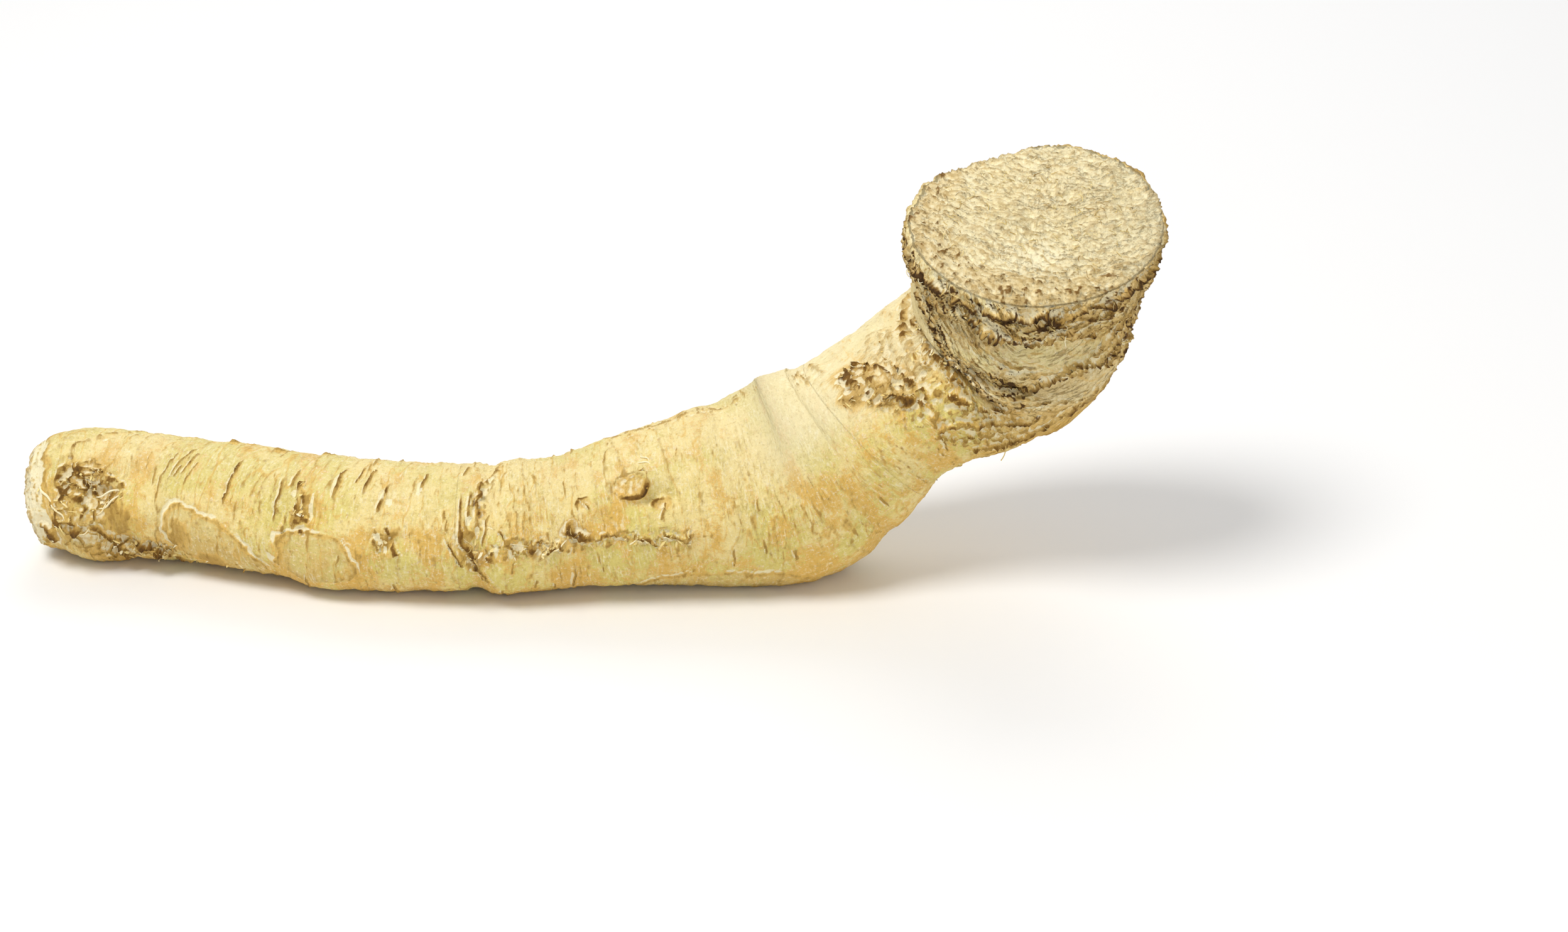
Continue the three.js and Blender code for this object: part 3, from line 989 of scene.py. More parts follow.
    def scar(self):
        """Slits, scratches and cracks. Every skin draws the same random ones."""
        for slit in SLITS:
            self.slit(*slit)
        at, angle = SCRATCHES_AT
        pick = np.random.default_rng(SEED)
        for i, (turn, half) in enumerate(drawn(pick, *SCRATCHES)):
            place = at + SCRATCH_GAP * i, angle + turn
            self.slit(*place, half, SCRATCH_DEPTH, SCRATCH_SLANT, NARROW_SLIT)
        clear_to, clear_angle, clear_width = KEPT_CLEAR
        for at, angle, *rest in drawn(pick, *RANDOM_SLITS):
            if not (at < clear_to and abs(turned(angle - clear_angle)) < clear_width):
                self.slit(at, angle, *rest)
        for nick in drawn(pick, *NICKS):
            self.slit(*nick, NARROW_SLIT)
        for crack in CRACKS:
            self.crack(*crack)
        for at, angle, lean, reach, *rest in drawn(pick, *BACK_CRACKS):
            path = [(at + lean * reach * i, angle + reach * i) for i in (-1, 0, 1)]
            self.crack(path, *rest)

    def peeled(self):
        """Skin that has come off, with a thin curled edge round it that fades out below."""
        for (_, angle, _, wide, _), rows, inside in self.patches(PEELS, tilted=True, ragged=0.45):
            side = self.side[rows]
            gone = smooth(inside, -0.2, 0.3) * side
            upper = smooth(self.across(rows, angle) / wide, -0.9, 0.1)
            edge = bell(inside + 0.3, 0.34) * side
            edge *= np.clip(0.5 + 1.3 * self.wander[rows] + 0.3 * self.breaks[rows], 0.1, 1)
            edge *= upper
            self.height[rows] += self.depth * (0.5 * edge - 0.32 * gone)
            self.raise_mark("peel", gone, rows)
            self.raise_mark("pale", edge, rows)
            self.raise_mark("stain", (0.3 + 0.5 * upper) * bell(inside - 0.5, 0.6) * side, rows)

    def hollow_out(self):
        """Shallow hollows with painted shade in them, and holes with a dark bottom and a broken pale
        rim.
        """
        for (_, _, long, wide, depth), rows, inside in self.patches(HOLLOWS):
            bowl = smooth(inside / min(long, wide), -0.1, 0.5)
            self.height[rows] -= depth * self.depth * bowl
            # painted shade in the hollow's bowl
            self.raise_mark("stain", bowl, rows)
        for rows, u, v, long, wide, depth in self.spots(PITS, 1.1, 1.1):
            away = np.hypot(u / long, v / wide) + 0.45 * self.breaks[rows]
            hole = below(away, 1.25, 0.8)
            self.height[rows] += self.depth * (0.35 * bell(away - 1.7, 0.5) - depth * hole)
            self.raise_mark("dark", hole, rows)
            self.raise_mark("stain", below(away, 2.6, 1), rows)
            rim = 0.7 * bell(away - 1.8, 0.3) * smooth(self.wander[rows], -0.1, 0.5)
            self.raise_mark("pale", rim, rows)

    def swell(self):
        """Small rounded domes with a wrinkled, stained top and a gap under one side in painted shadow.
        """
        for rows, u, v, long, wide, height, under in self.spots(KNOBS, 0.35, 0.35):
            u, v = u / long, v / wide
            away = np.hypot(u, v)
            wrinkled = creases(self.grain[rows], 1.6, seed=25)
            dome = np.sqrt(np.clip(1 - away**2, 0, 1))
            lean = np.cos(np.arctan2(v, u) - math.radians(under))
            gap = bell(away - 1.12, 0.65 / long) * smooth(lean, 0.2, 0.8)
            lift = dome * (height + 0.35 * (wrinkled - 0.5)) - gap * (0.4 + 0.7 * height)
            self.height[rows] += self.depth * lift
            creased = 0.42 + 0.4 * below(wrinkled, 0.35, 0.2)
            # painted shade on the side of the dome towards the gap
            shaded = 0.9 * bell(away - 1.0, 0.35) * smooth(lean, -0.2, 0.7)
            self.raise_mark("stain", np.maximum(below(away, 1.15, 0.4) * creased, shaded), rows)
            # painted shadow in the gap under the dome
            self.raise_mark("dark", gap * min(1.2, 0.6 + 0.35 * height), rows)

    def crumble(self):
        """Crusts of bark: chips with dark gaps between them at the tail, pitted ridges elsewhere."""
        for (*_, strength), rows, inside in self.patches(CRUSTS):
            self.raise_mark("crust", strength * smooth(inside, -1.0, 1.2), rows)
            stained = smooth(inside, -3.5, 1.0) * (0.2 + 0.5 * smooth(self.wander[rows], -0.4, 0.3))
            self.raise_mark("stain", strength * stained * self.side[rows], rows)
        zone = self.crust * self.side
        tail = 1 - smooth(self.s, *CHIPS_TO_RIDGES)
        warped = self.grain + np.stack([self.sway, self.sway_round, self.sway], -1) * 0.7
        near, second, tone = crumbs(warped, (4.8, 4.4, 4.4), seed=20)
        gap = second - near
        fine = creases(warped, 1.7, seed=24)
        ridges = creases(warped, 3.8, seed=26)
        torn = smooth(self.wander + 0.5 * self.breaks, -0.45, 0.25)
        chips = smooth(gap, 0.02, 0.15) * (0.25 + 0.9 * tone)
        gaps = below(gap, 0.13, 0.08) * torn
        holes = smooth(fractal(self.grain, 2.0, 2, seed=23), 0.24, 0.4)
        valleys = below(ridges, 0.13, 0.1) * torn
        chipped = tail * (chips + 0.3 * fine - 0.25 - 0.85 * gaps)
        pitted = (1 - tail) * (1.5 * (ridges - 0.45) + 0.5 * (fine - 0.5) - 1.7 * holes)
        self.height += zone * self.depth * (chipped + pitted)
        opened = tail * gaps + (1 - tail) * np.maximum(0.95 * holes, 0.75 * valleys)
        self.raise_mark("dark", zone * opened)
        soiled = np.maximum(0.5 * below(fine, 0.2, 0.15), 0.25 + tail * 0.35 * below(tone, 0.6, 0.4))
        self.raise_mark("stain", zone * np.maximum(soiled, 0.6 * below(ridges, 0.3, 0.2)))
        self.raise_mark("peel", zone * tail * smooth(gap, 0.08, 0.16))
        self.raise_mark("pale", zone * tail * smooth(gap, 0.1, 0.2) * smooth(tone, 0.55, 0.9) * 0.25)
        ridged = (1 - tail) * smooth(ridges + 0.3 * fine, 0.7, 1.05)
        self.raise_mark("pale", zone * (tail * smooth(fine, 0.8, 1.0) * 0.3 + ridged))

    def scrape(self):
        """Whitish scraps of torn skin, over what is dark or stained under them."""
        for rows, u, v, long, wide in self.spots(SCRAPS, 0.3, 0.5):
            scrap = smooth(1.2 - np.hypot(u / long, v / wide) - 0.4 * self.breaks[rows], 0, 0.25)
            self.height[rows] += 0.45 * self.depth * scrap
            self.dark[rows] *= 1 - 0.9 * scrap
            self.stain[rows] *= 1 - scrap
            self.raise_mark("pale", 1.2 * scrap, rows)

    def crown_rim(self, rough):
        """A ragged lip round the crown's cut, over dark gaps in front."""
        from_rim = self.s - self.sweep.length
        front = smooth(self.forward, -0.1, 0.45)
        jagged = 0.55 * rough + 0.3 * self.breaks + 0.5 * (creases(self.grain, 1.4, seed=76) - 0.5)
        self.height += bell(from_rim - 0.3, 2.2) * (jagged - 0.3 - 0.4 * (1 - front))
        gaps = smooth(fractal(self.grain, 3.4, 2, seed=73), -0.75, -0.2) * self.side
        for drop, width, depth in RIM_GAPS:
            under = bell(from_rim + drop + 1.7 * rough + 0.5 * self.sway, width)
            under = under * gaps * (0.15 + 0.85 * front)
            self.height -= under * self.depth * depth
            self.raise_mark("dark", 0.95 * under * front)
            self.raise_mark("stain", 0.5 * bell(from_rim + drop, 2.0 * width) * self.side * front)
            gaps = gaps * smooth(self.wander, -0.1, 0.4)
        lip = bell(from_rim + 0.1 + 1.2 * rough, 1.0) * smooth(self.breaks, -0.7, 0.0)
        self.raise_mark("pale", 0.6 * lip * smooth(self.wander, -0.4, 0.3))

    def tail_rim(self, rough):
        """A band of torn, pale skin round the tail's cut, narrowest underneath."""
        reach = 3.6 + 2.2 * rough + 0.8 * self.breaks + 0.6 * self.sway - self.s
        reach -= 4 * smooth(self.towards(-105), -0.1, 0.5)
        band = smooth(reach, 0, 0.9)
        torn = fractal(self.grain, 1.2, 2, seed=71)
        self.raise_mark("pale", band * (0.75 + 0.4 * torn))
        self.raise_mark("stain", 0.8 * bell(reach + 0.6, 0.8) * smooth(self.wander, -0.4, 0.2))
        self.height += bell(self.s, 3.5) * (0.8 * rough + 0.25 * torn) + 0.35 * band

    def cut_crown(self, crown, fibre):
        """Wavy fibres from side to side of the crown's face, roughest at its lower and left edge."""
        low, left = self.grain[..., 1], self.grain[..., 2]
        wavy = self.grain.copy()
        wavy[..., 1] += 1.8 * noise(self.grain, 8, seed=50) + 0.6 * self.sway + 0.012 * (left + 6) ** 2
        wavy[..., 2] *= 0.3
        self.weave = np.where(crown[..., None] > 0.5, wavy, self.weave)
        fibres = creases(wavy, (1.5, 1.4, 1.5), seed=51)
        strands = creases(wavy * (1, 1, 1.6), 3.4, seed=53)
        near, second, tone = crumbs(self.grain + 0.4 * self.sway[..., None], (1.4, 1.3, 1.8), seed=54)
        grains = smooth(second - near, 0, 0.4) * (0.3 + 0.7 * tone)
        edge = smooth(self.sweep.share[:, None], 0.5, 0.9)
        rough = np.clip(smooth(low, 4, 24) * edge + smooth(left, 10, 26) * edge, 0, 1)
        pits = smooth(fractal(self.grain, 1.9, 2, seed=56), 0.45 - 0.2 * rough, 0.62)
        pits = pits * (0.35 + 0.65 * rough)
        across = 1.1 * (fibres - 0.5) + 0.6 * (strands - 0.5) + 1.1 * (grains - 0.4) - 1.3 * pits
        self.height += crown * fibre * across
        self.height += crown * (fractal(self.grain, 17, 2, seed=58) + 0.4 * fractal(wavy, 5, 2, seed=64))
        lines = np.maximum(below(fibres, 0.26, 0.2), below(strands, 0.16, 0.14))
        self.raise_mark("dark", crown * np.maximum(0.8 * pits, 0.3 * lines * (0.4 + rough)))
        cloudy = smooth(fractal(self.grain, 9, 3, seed=66) + 0.5 * rough, -0.1, 0.6)
        self.raise_mark("stain", crown * (0.36 * lines + 0.15 * cloudy + 0.38 * rough))
        chalk = bell(np.hypot(low - 14, (left - 1) * 0.7), 6)
        crests = smooth(fibres * 0.6 + grains * 0.6, 0.65, 1.05) * (1 - 0.6 * rough)
        self.raise_mark("pale", crown * np.maximum(crests, 0.75 * chalk + 0.3 * self.breaks * chalk))

    def cut_tail(self, tail):
        """The rough, faintly stained flesh of the tail's face."""
        rough = fractal(self.grain, 5, 3, seed=60)
        wavy = creases(self.grain + 0.8 * self.sway[..., None], (1.6, 1.4, 3.2), seed=61)
        self.height += tail * (0.8 * rough + 0.6 * (wavy - 0.5))
        self.raise_mark("dark", tail * 0.45 * below(wavy, 0.2, 0.15))
        self.raise_mark("pale", tail * 0.3 * smooth(rough + 0.4 * wavy, 0.2, 0.7))
        self.raise_mark("stain", tail * (0.4 + 0.4 * smooth(-rough, -0.1, 0.4)))

    def build(self, fibre):
        """All of the skin's relief and marks, each feature laid over the ones before it."""
        self.weather()
        self.fold()
        self.scar()
        self.peeled()
        self.hollow_out()
        self.swell()
        self.crumble()
        self.scrape()
        rubbed = bell(turned(self.angle - RUBBED_ANGLE), RUBBED_WIDTH) * below(self.s, *RUBBED_TOP)
        self.dark *= 1 - 0.7 * rubbed
        rough = fractal(self.grain * (0.15, 1, 1), (4, 5, 5), 3, seed=70)
        self.crown_rim(rough)
        self.tail_rim(rough)
        crown = self.face * self.sweep.is_crown[:, None]
        if crown.any():
            self.cut_crown(crown, fibre)
        tail = self.face * self.sweep.is_tail[:, None]
        if tail.any():
            self.cut_tail(tail)
        # How far each point lies below the skin round it: the material paints shade in the hollows and
        # highlights on the ridges from it.
        side_gap = 2 * math.pi * self.reach.max() / self.sweep.sides
        narrow, broad = (
            blurred(self.height, blur / self.sweep.row_gap, blur / side_gap) - self.height
            for blur in (1.1, 3.5)
        )
        self.hollow = np.clip(1.3 * narrow + 0.5 * broad, -1, 1)
        eased = MOST_OUT * np.tanh(self.height / MOST_OUT)
        self.height = np.where(self.height > 0, eased, self.height)
        self.mark_growth()
        return self

    def mark_growth(self):
        """How thickly crumbs, flakes, rootlets and fibres grow at each point."""
        patchy = smooth(self.wander, -0.2, 0.5)
        _, y, z = np.moveaxis(self.sweep.points(self.reach), -1, 0)
        boxed = smooth(np.minimum(y - BOX_FRONT, BOX_BACK - y), 0.5, 4)
        free = smooth(z, 2, 6) * boxed
        cracks = smooth(self.dark, 0.3, 0.8) * self.side
        self.loose = (self.crust * 0.4 + 0.4 * cracks) * patchy * free
        outline = smooth(self.upward, 0.75, 0.95) * (self.s < SMOOTH_OUTLINE_TO)
        free = free * (1 - outline)
        flaky = 0 * self.s
        for (*_, share), rows, inside in self.patches(FLAKY):
            flaky[rows] = np.maximum(flaky[rows], share * smooth(inside, -1, 1.5))
        ragged = smooth(self.breaks + 0.5 * self.wander, -0.4, 0.5)
        self.curl = (flaky + 0.08 * smooth(self.pale, 0.6, 0.9) * self.side) * ragged * free
        self.sprout = (cracks * 0.5 + self.crust * 0.2) * smooth(self.breaks, 0.0, 0.6) * free
        cut = 0.5 * self.face * smooth(-self.sweep.share, -0.9, -0.7)[:, None]
        self.torn = (cut + 0.4 * cracks) * patchy * boxed

    def trim(self, keep):
        """Drops the rows past a seam from what the mesh will carry."""
        for name in (*self.NUMBERS, *self.PLACES):
            setattr(self, name, getattr(self, name)[keep])
        return self


def skin_rows(sizes):
    """Displaced rows of the three skins. Neighbours share the ring at their seam."""
    margin = MARGIN_ROWS
    body_margin, crown_margin = margin * BODY_ROW, margin * CROWN_ROW
    stretches = [
        (TAIL_END, SEAMS[0] + body_margin, BODY_ROW, BODY_SIDES, slice(None, -margin)),
        (SEAMS[0] - body_margin, SEAMS[1] + body_margin, BODY_ROW, BODY_SIDES, slice(margin, -margin)),
        (SEAMS[1] - crown_margin, CROWN_END, CROWN_ROW, CROWN_SIDES, slice(margin, None)),
    ]
    made = []
    for first, last, gap, sides, keep in stretches:
        sweep = Sweep(first, last, gap, sides)
        relief = Relief(sweep, sizes.bark).build(sizes.fibre / MM)
        points = sweep.points(relief.reach)
        points = points + outward(points) * relief.height[..., None]
        points[..., 1] = np.clip(points[..., 1], BOX_FRONT - PAST_BOX, BOX_BACK + PAST_BOX)
        points[..., 2] = np.maximum(points[..., 2], 0)
        tail = sweep.centre[0] - POLES_OUT[0] * sweep.along[0]
        crown = sweep.centre[-1] + POLES_OUT[1] * sweep.along[-1]
        made.append([points[keep], relief.trim(keep), tail, crown])
    for before, after in zip(made, made[1:]):
        ring = after[0][0]
        if len(ring) > BODY_SIDES:
            ring[1::2] = (ring[0::2] + np.roll(ring[0::2], -1, 0)) / 2
            before[0][-1] = ring[0::2]
        else:
            before[0][-1] = ring
        before[3] = after[2] = ring.mean(0)
    return made


def skin_mesh(name, points, relief, tail, crown):
    """Rows of points as one closed mesh, and what the material reads from it."""
    rows, sides = points.shape[:2]
    vertices = np.concatenate([points.reshape(-1, 3), [tail, crown]])
    row, side = np.meshgrid(np.arange(rows - 1) * sides, np.arange(sides), indexing="ij")
    following = (side + 1) % sides
    corners = [row + side, row + sides + side, row + sides + following, row + following]
    quads = np.stack(corners, -1).reshape(-1, 4)
    side = np.arange(sides)
    following = (side + 1) % sides
    last = (rows - 1) * sides
    tail_fan = np.stack([np.full(sides, rows * sides), side, following], -1)
    crown_fan = np.stack([np.full(sides, rows * sides + 1), last + following, last + side], -1)
    mesh = bpy.data.meshes.new(name)
    faces = [*quads.tolist(), *tail_fan.tolist(), *crown_fan.tolist()]
    mesh.from_pydata((vertices * MM).tolist(), [], faces)
    smooth_faces = np.ones(len(faces), bool)  # but for the fans that close a seam, inside the root
    if not relief.sweep.has_tail:
        smooth_faces[-2 * sides : -sides] = False
    if not relief.sweep.has_crown:
        smooth_faces[-sides:] = False
    mesh.polygons.foreach_set("use_smooth", smooth_faces)
    for mark in Relief.NUMBERS:
        values = getattr(relief, mark)
        poles = [values[0].mean(), values[-1].mean()]
        flat = np.concatenate([values.ravel(), poles]).astype(np.float32)
        mesh.attributes.new(mark, "FLOAT", "POINT").data.foreach_set("value", flat)
    for name in Relief.PLACES:
        vectors = getattr(relief, name)
        vectors = np.concatenate([vectors.reshape(-1, 3), vectors[[0, -1]].mean(1)]) * MM
        data = mesh.attributes.new(name, "FLOAT_VECTOR", "POINT").data
        data.foreach_set("vector", vectors.astype(np.float32).ravel())
    return mesh


class Number:
    """A number that varies over a surface. Arithmetic on it adds Math nodes."""

    def __init__(self, tree, socket):
        self.tree, self.socket = tree, socket

    def maths(self, operation, *inputs):
        """The result of a Math node."""
        socket = self.tree.node("ShaderNodeMath", {"operation": operation}, dict(enumerate(inputs)))
        return Number(self.tree, socket)

    def __add__(self, other):
        return self.maths("ADD", self, other)

    def __sub__(self, other):
        return self.maths("SUBTRACT", self, other)

    def __rsub__(self, other):
        return self.maths("SUBTRACT", other, self)

    def __mul__(self, other):
        return self.maths("MULTIPLY", self, other)

    __radd__ = __add__
    __rmul__ = __mul__

    def step(self, low, high):
        """0 below low, 1 above high, and a smooth step between."""
        settings = {"interpolation_type": "SMOOTHSTEP"}
        inputs = {"Value": self, "From Min": low, "From Max": high}
        return Number(self.tree, self.tree.node("ShaderNodeMapRange", settings, inputs))


class Tree:
    """A node tree, with one method that makes any of its nodes."""

    def __init__(self, tree):
        self.tree = tree

    def node(self, kind, settings=None, inputs=None, output=0):
        """One output of a new node, made with these settings and then these values or links."""
        node = self.tree.nodes.new(kind)
        for name, value in (settings or {}).items():
            setattr(node, name, value)
        for name, value in (inputs or {}).items():
            self.put(node.inputs[name], value)
        return node.outputs[output]

    def put(self, socket, value):
        """Links a value to a socket if it comes from a node, and otherwise sets the socket to it."""
        value = getattr(value, "socket", value)
        if isinstance(value, bpy.types.NodeSocket):
            self.tree.links.new(value, socket)
        elif socket.type == "RGBA" and len(value) == 3:
            socket.default_value = (*value, 1)
        else:
            socket.default_value = value


class Shader(Tree):
    """A material's nodes."""

    def __init__(self, name):
        self.material = bpy.data.materials.new(name)
        self.material.use_nodes = True
        super().__init__(self.material.node_tree)
        self.surface = self.tree.nodes["Principled BSDF"]

    def attribute(self, name):
        """A number that the mesh carries at each point."""
        return Number(self, self.node("ShaderNodeAttribute", {"attribute_name": name}, output="Fac"))

    def place(self, name):
        """A place that the mesh carries at each point."""
        return self.node("ShaderNodeAttribute", {"attribute_name": name}, output="Vector")

    def noise(self, vector, size, detail=3.0, roughness=0.55):
        """Noise from 0 to 1, in lumps of a size in millimetres."""
        inputs = {"Vector": vector, "Scale": 1 / (size * MM), "Detail": detail, "Roughness": roughness}
        return Number(self, self.node("ShaderNodeTexNoise", {"noise_dimensions": "3D"}, inputs, "Fac"))

    def mix(self, low, high, share):
        """From one colour to another."""
        inputs = {"Factor": share, 6: low, 7: high}  # its inputs 6 and 7 are the colours
        return self.node("ShaderNodeMix", {"data_type": "RGBA"}, inputs, 2)

    def stretch(self, vector, scale):
        """A vector with each axis scaled."""
        return self.node("ShaderNodeVectorMath", {"operation": "MULTIPLY"}, {0: vector, 1: scale})

    def bump(self, height, distance):
        """Fine relief in the light alone, so many millimetres high."""
        return self.node("ShaderNodeBump", None, {"Height": height, "Distance": distance * MM})

    def finish(self, **inputs):
        """Sets the surface's own sockets, their names written with _ for a space."""
        for name, value in inputs.items():
            self.put(self.surface.inputs[name.replace("_", " ")], value)
        return self.material


class Growth(Tree):
    """Geometry Nodes that scatter a small shape over the skins, with named inputs for its sizes."""

    def __init__(self, name, material, sizes):
        super().__init__(bpy.data.node_groups.new(name, "GeometryNodeTree"))
        self.name, self.material, self.values = name, material, {}
        sockets = self.tree.interface
        sockets.new_socket("Geometry", in_out="OUTPUT", socket_type="NodeSocketGeometry")
        named = [(label, bpy.data.objects[label], "NodeSocketObject") for label in SKINS]
        named += [(label, value, "NodeSocketFloat") for label, value in sizes.items()]
        for label, value, kind in named:
            socket = sockets.new_socket(label, in_out="INPUT", socket_type=kind)
            self.values[socket.identifier] = value
        self.given = self.tree.nodes.new("NodeGroupInput")

    def size(self, label):
        """One of the tree's named sizes."""
        return Number(self, self.given.outputs[label])

    def named(self, mark):
        """One of the skin's marks."""
        inputs = {"Name": mark}
        return Number(self, self.node("GeometryNodeInputNamedAttribute", {"data_type": "FLOAT"}, inputs))

    def random(self, low, high, seed):
        """A number, or a vector where the limits are vectors, drawn between two limits."""
        kind, first, output = ("FLOAT_VECTOR", 0, 0) if isinstance(low, tuple) else ("FLOAT", 2, 1)
        inputs = {first: low, first + 1: high, "Seed": seed}
        return self.node("FunctionNodeRandomValue", {"data_type": kind}, inputs, output)

    def vector(self, x, y, z):
        """A vector of three numbers."""
        return self.node("ShaderNodeCombineXYZ", None, {"X": x, "Y": y, "Z": z})

    def place(self, axis):
        """Each point's place along an axis."""
        place = self.node("GeometryNodeInputPosition")
        return Number(self, self.node("ShaderNodeSeparateXYZ", None, {0: place}, axis))

    def scatter(self, shape, mark, turn, smallest, seed):
        """Stands copies of a shape on the skin, as thickly as a mark says, and ends the tree.

        Each is turned between the two limits of turn, and scaled between smallest and 1."""
        skins = self.tree.nodes.new("GeometryNodeJoinGeometry")
        for label in SKINS:
            inputs = {"Object": self.given.outputs[label]}
            skin = self.node("GeometryNodeObjectInfo", None, inputs, "Geometry")
            self.tree.links.new(skin, skins.inputs[0])
        density = self.named(mark) * self.size("Density")
        inputs = {"Mesh": skins.outputs[0], "Density": density, "Seed": seed}
        points = self.tree.nodes.new("GeometryNodeDistributePointsOnFaces")
        for label, value in inputs.items():
            self.put(points.inputs[label], value)
        lean = self.node("FunctionNodeEulerToRotation", None, {0: self.random(*turn, seed + 1)})
        turned_by = self.node(
            "FunctionNodeRotateRotation",
            {"rotation_space": "LOCAL"},
            {"Rotation": points.outputs["Rotation"], "Rotate By": lean},
        )
        inputs = {
            "Points": points.outputs["Points"],
            "Instance": shape,
            "Rotation": turned_by,
            "Scale": self.random(smallest, (1, 1, 1), seed + 2),
        }
        copies = self.node("GeometryNodeInstanceOnPoints", None, inputs)
        copies = self.node(
            "GeometryNodeStoreNamedAttribute",
            {"data_type": "FLOAT", "domain": "INSTANCE"},
            {"Geometry": copies, "Name": "tone", "Value": self.random(0.0, 1.0, seed + 3)},
        )
        mesh = self.node("GeometryNodeRealizeInstances", None, {"Geometry": copies})
        mesh = self.node("GeometryNodeSetMaterial", None, {"Geometry": mesh, "Material": self.material})
        result = self.tree.nodes.new("NodeGroupOutput")
        self.tree.links.new(mesh, result.inputs["Geometry"])

    def tube(self, points, thickness, sides, steps=6, taper=0.75):
        """A thin tapering tube along a bent line."""
        inputs = {"Resolution": steps, **dict(zip(("Start", "Middle", "End"), points))}
        bend = self.node("GeometryNodeCurveQuadraticBezier", None, inputs)
        along = Number(self, self.node("GeometryNodeSplineParameter"))
        inputs = {"Curve": bend, "Radius": 1.0 - taper * along}
        bend = self.node("GeometryNodeSetCurveRadius", None, inputs)
        inputs = {"Resolution": sides, "Radius": thickness}
        ring = self.node("GeometryNodeCurvePrimitiveCircle", {"mode": "RADIUS"}, inputs)
        inputs = {"Curve": bend, "Profile Curve": ring, "Fill Caps": True}
        return self.node("GeometryNodeCurveToMesh", None, inputs)

    def mesh(self):
        """The scattered shapes as one plain mesh."""
        nothing = bpy.data.meshes.new("nothing")
        holder = bpy.data.objects.new(self.name, nothing)
        bpy.context.scene.collection.objects.link(holder)
        growing = holder.modifiers.new(self.name, "NODES")
        growing.node_group = self.tree
        for identifier, value in self.values.items():
            growing[identifier] = value
        evaluated = holder.evaluated_get(bpy.context.evaluated_depsgraph_get())
        mesh = bpy.data.meshes.new_from_object(evaluated)
        holder.modifiers.clear()
        bpy.data.objects.remove(holder)
        bpy.data.meshes.remove(nothing)
        mesh.name = self.name
        for name in (*Relief.NUMBERS, *Relief.PLACES):
            mesh.attributes.remove(mesh.attributes[name])  # the skin's, not the scattered shapes'
        return mesh


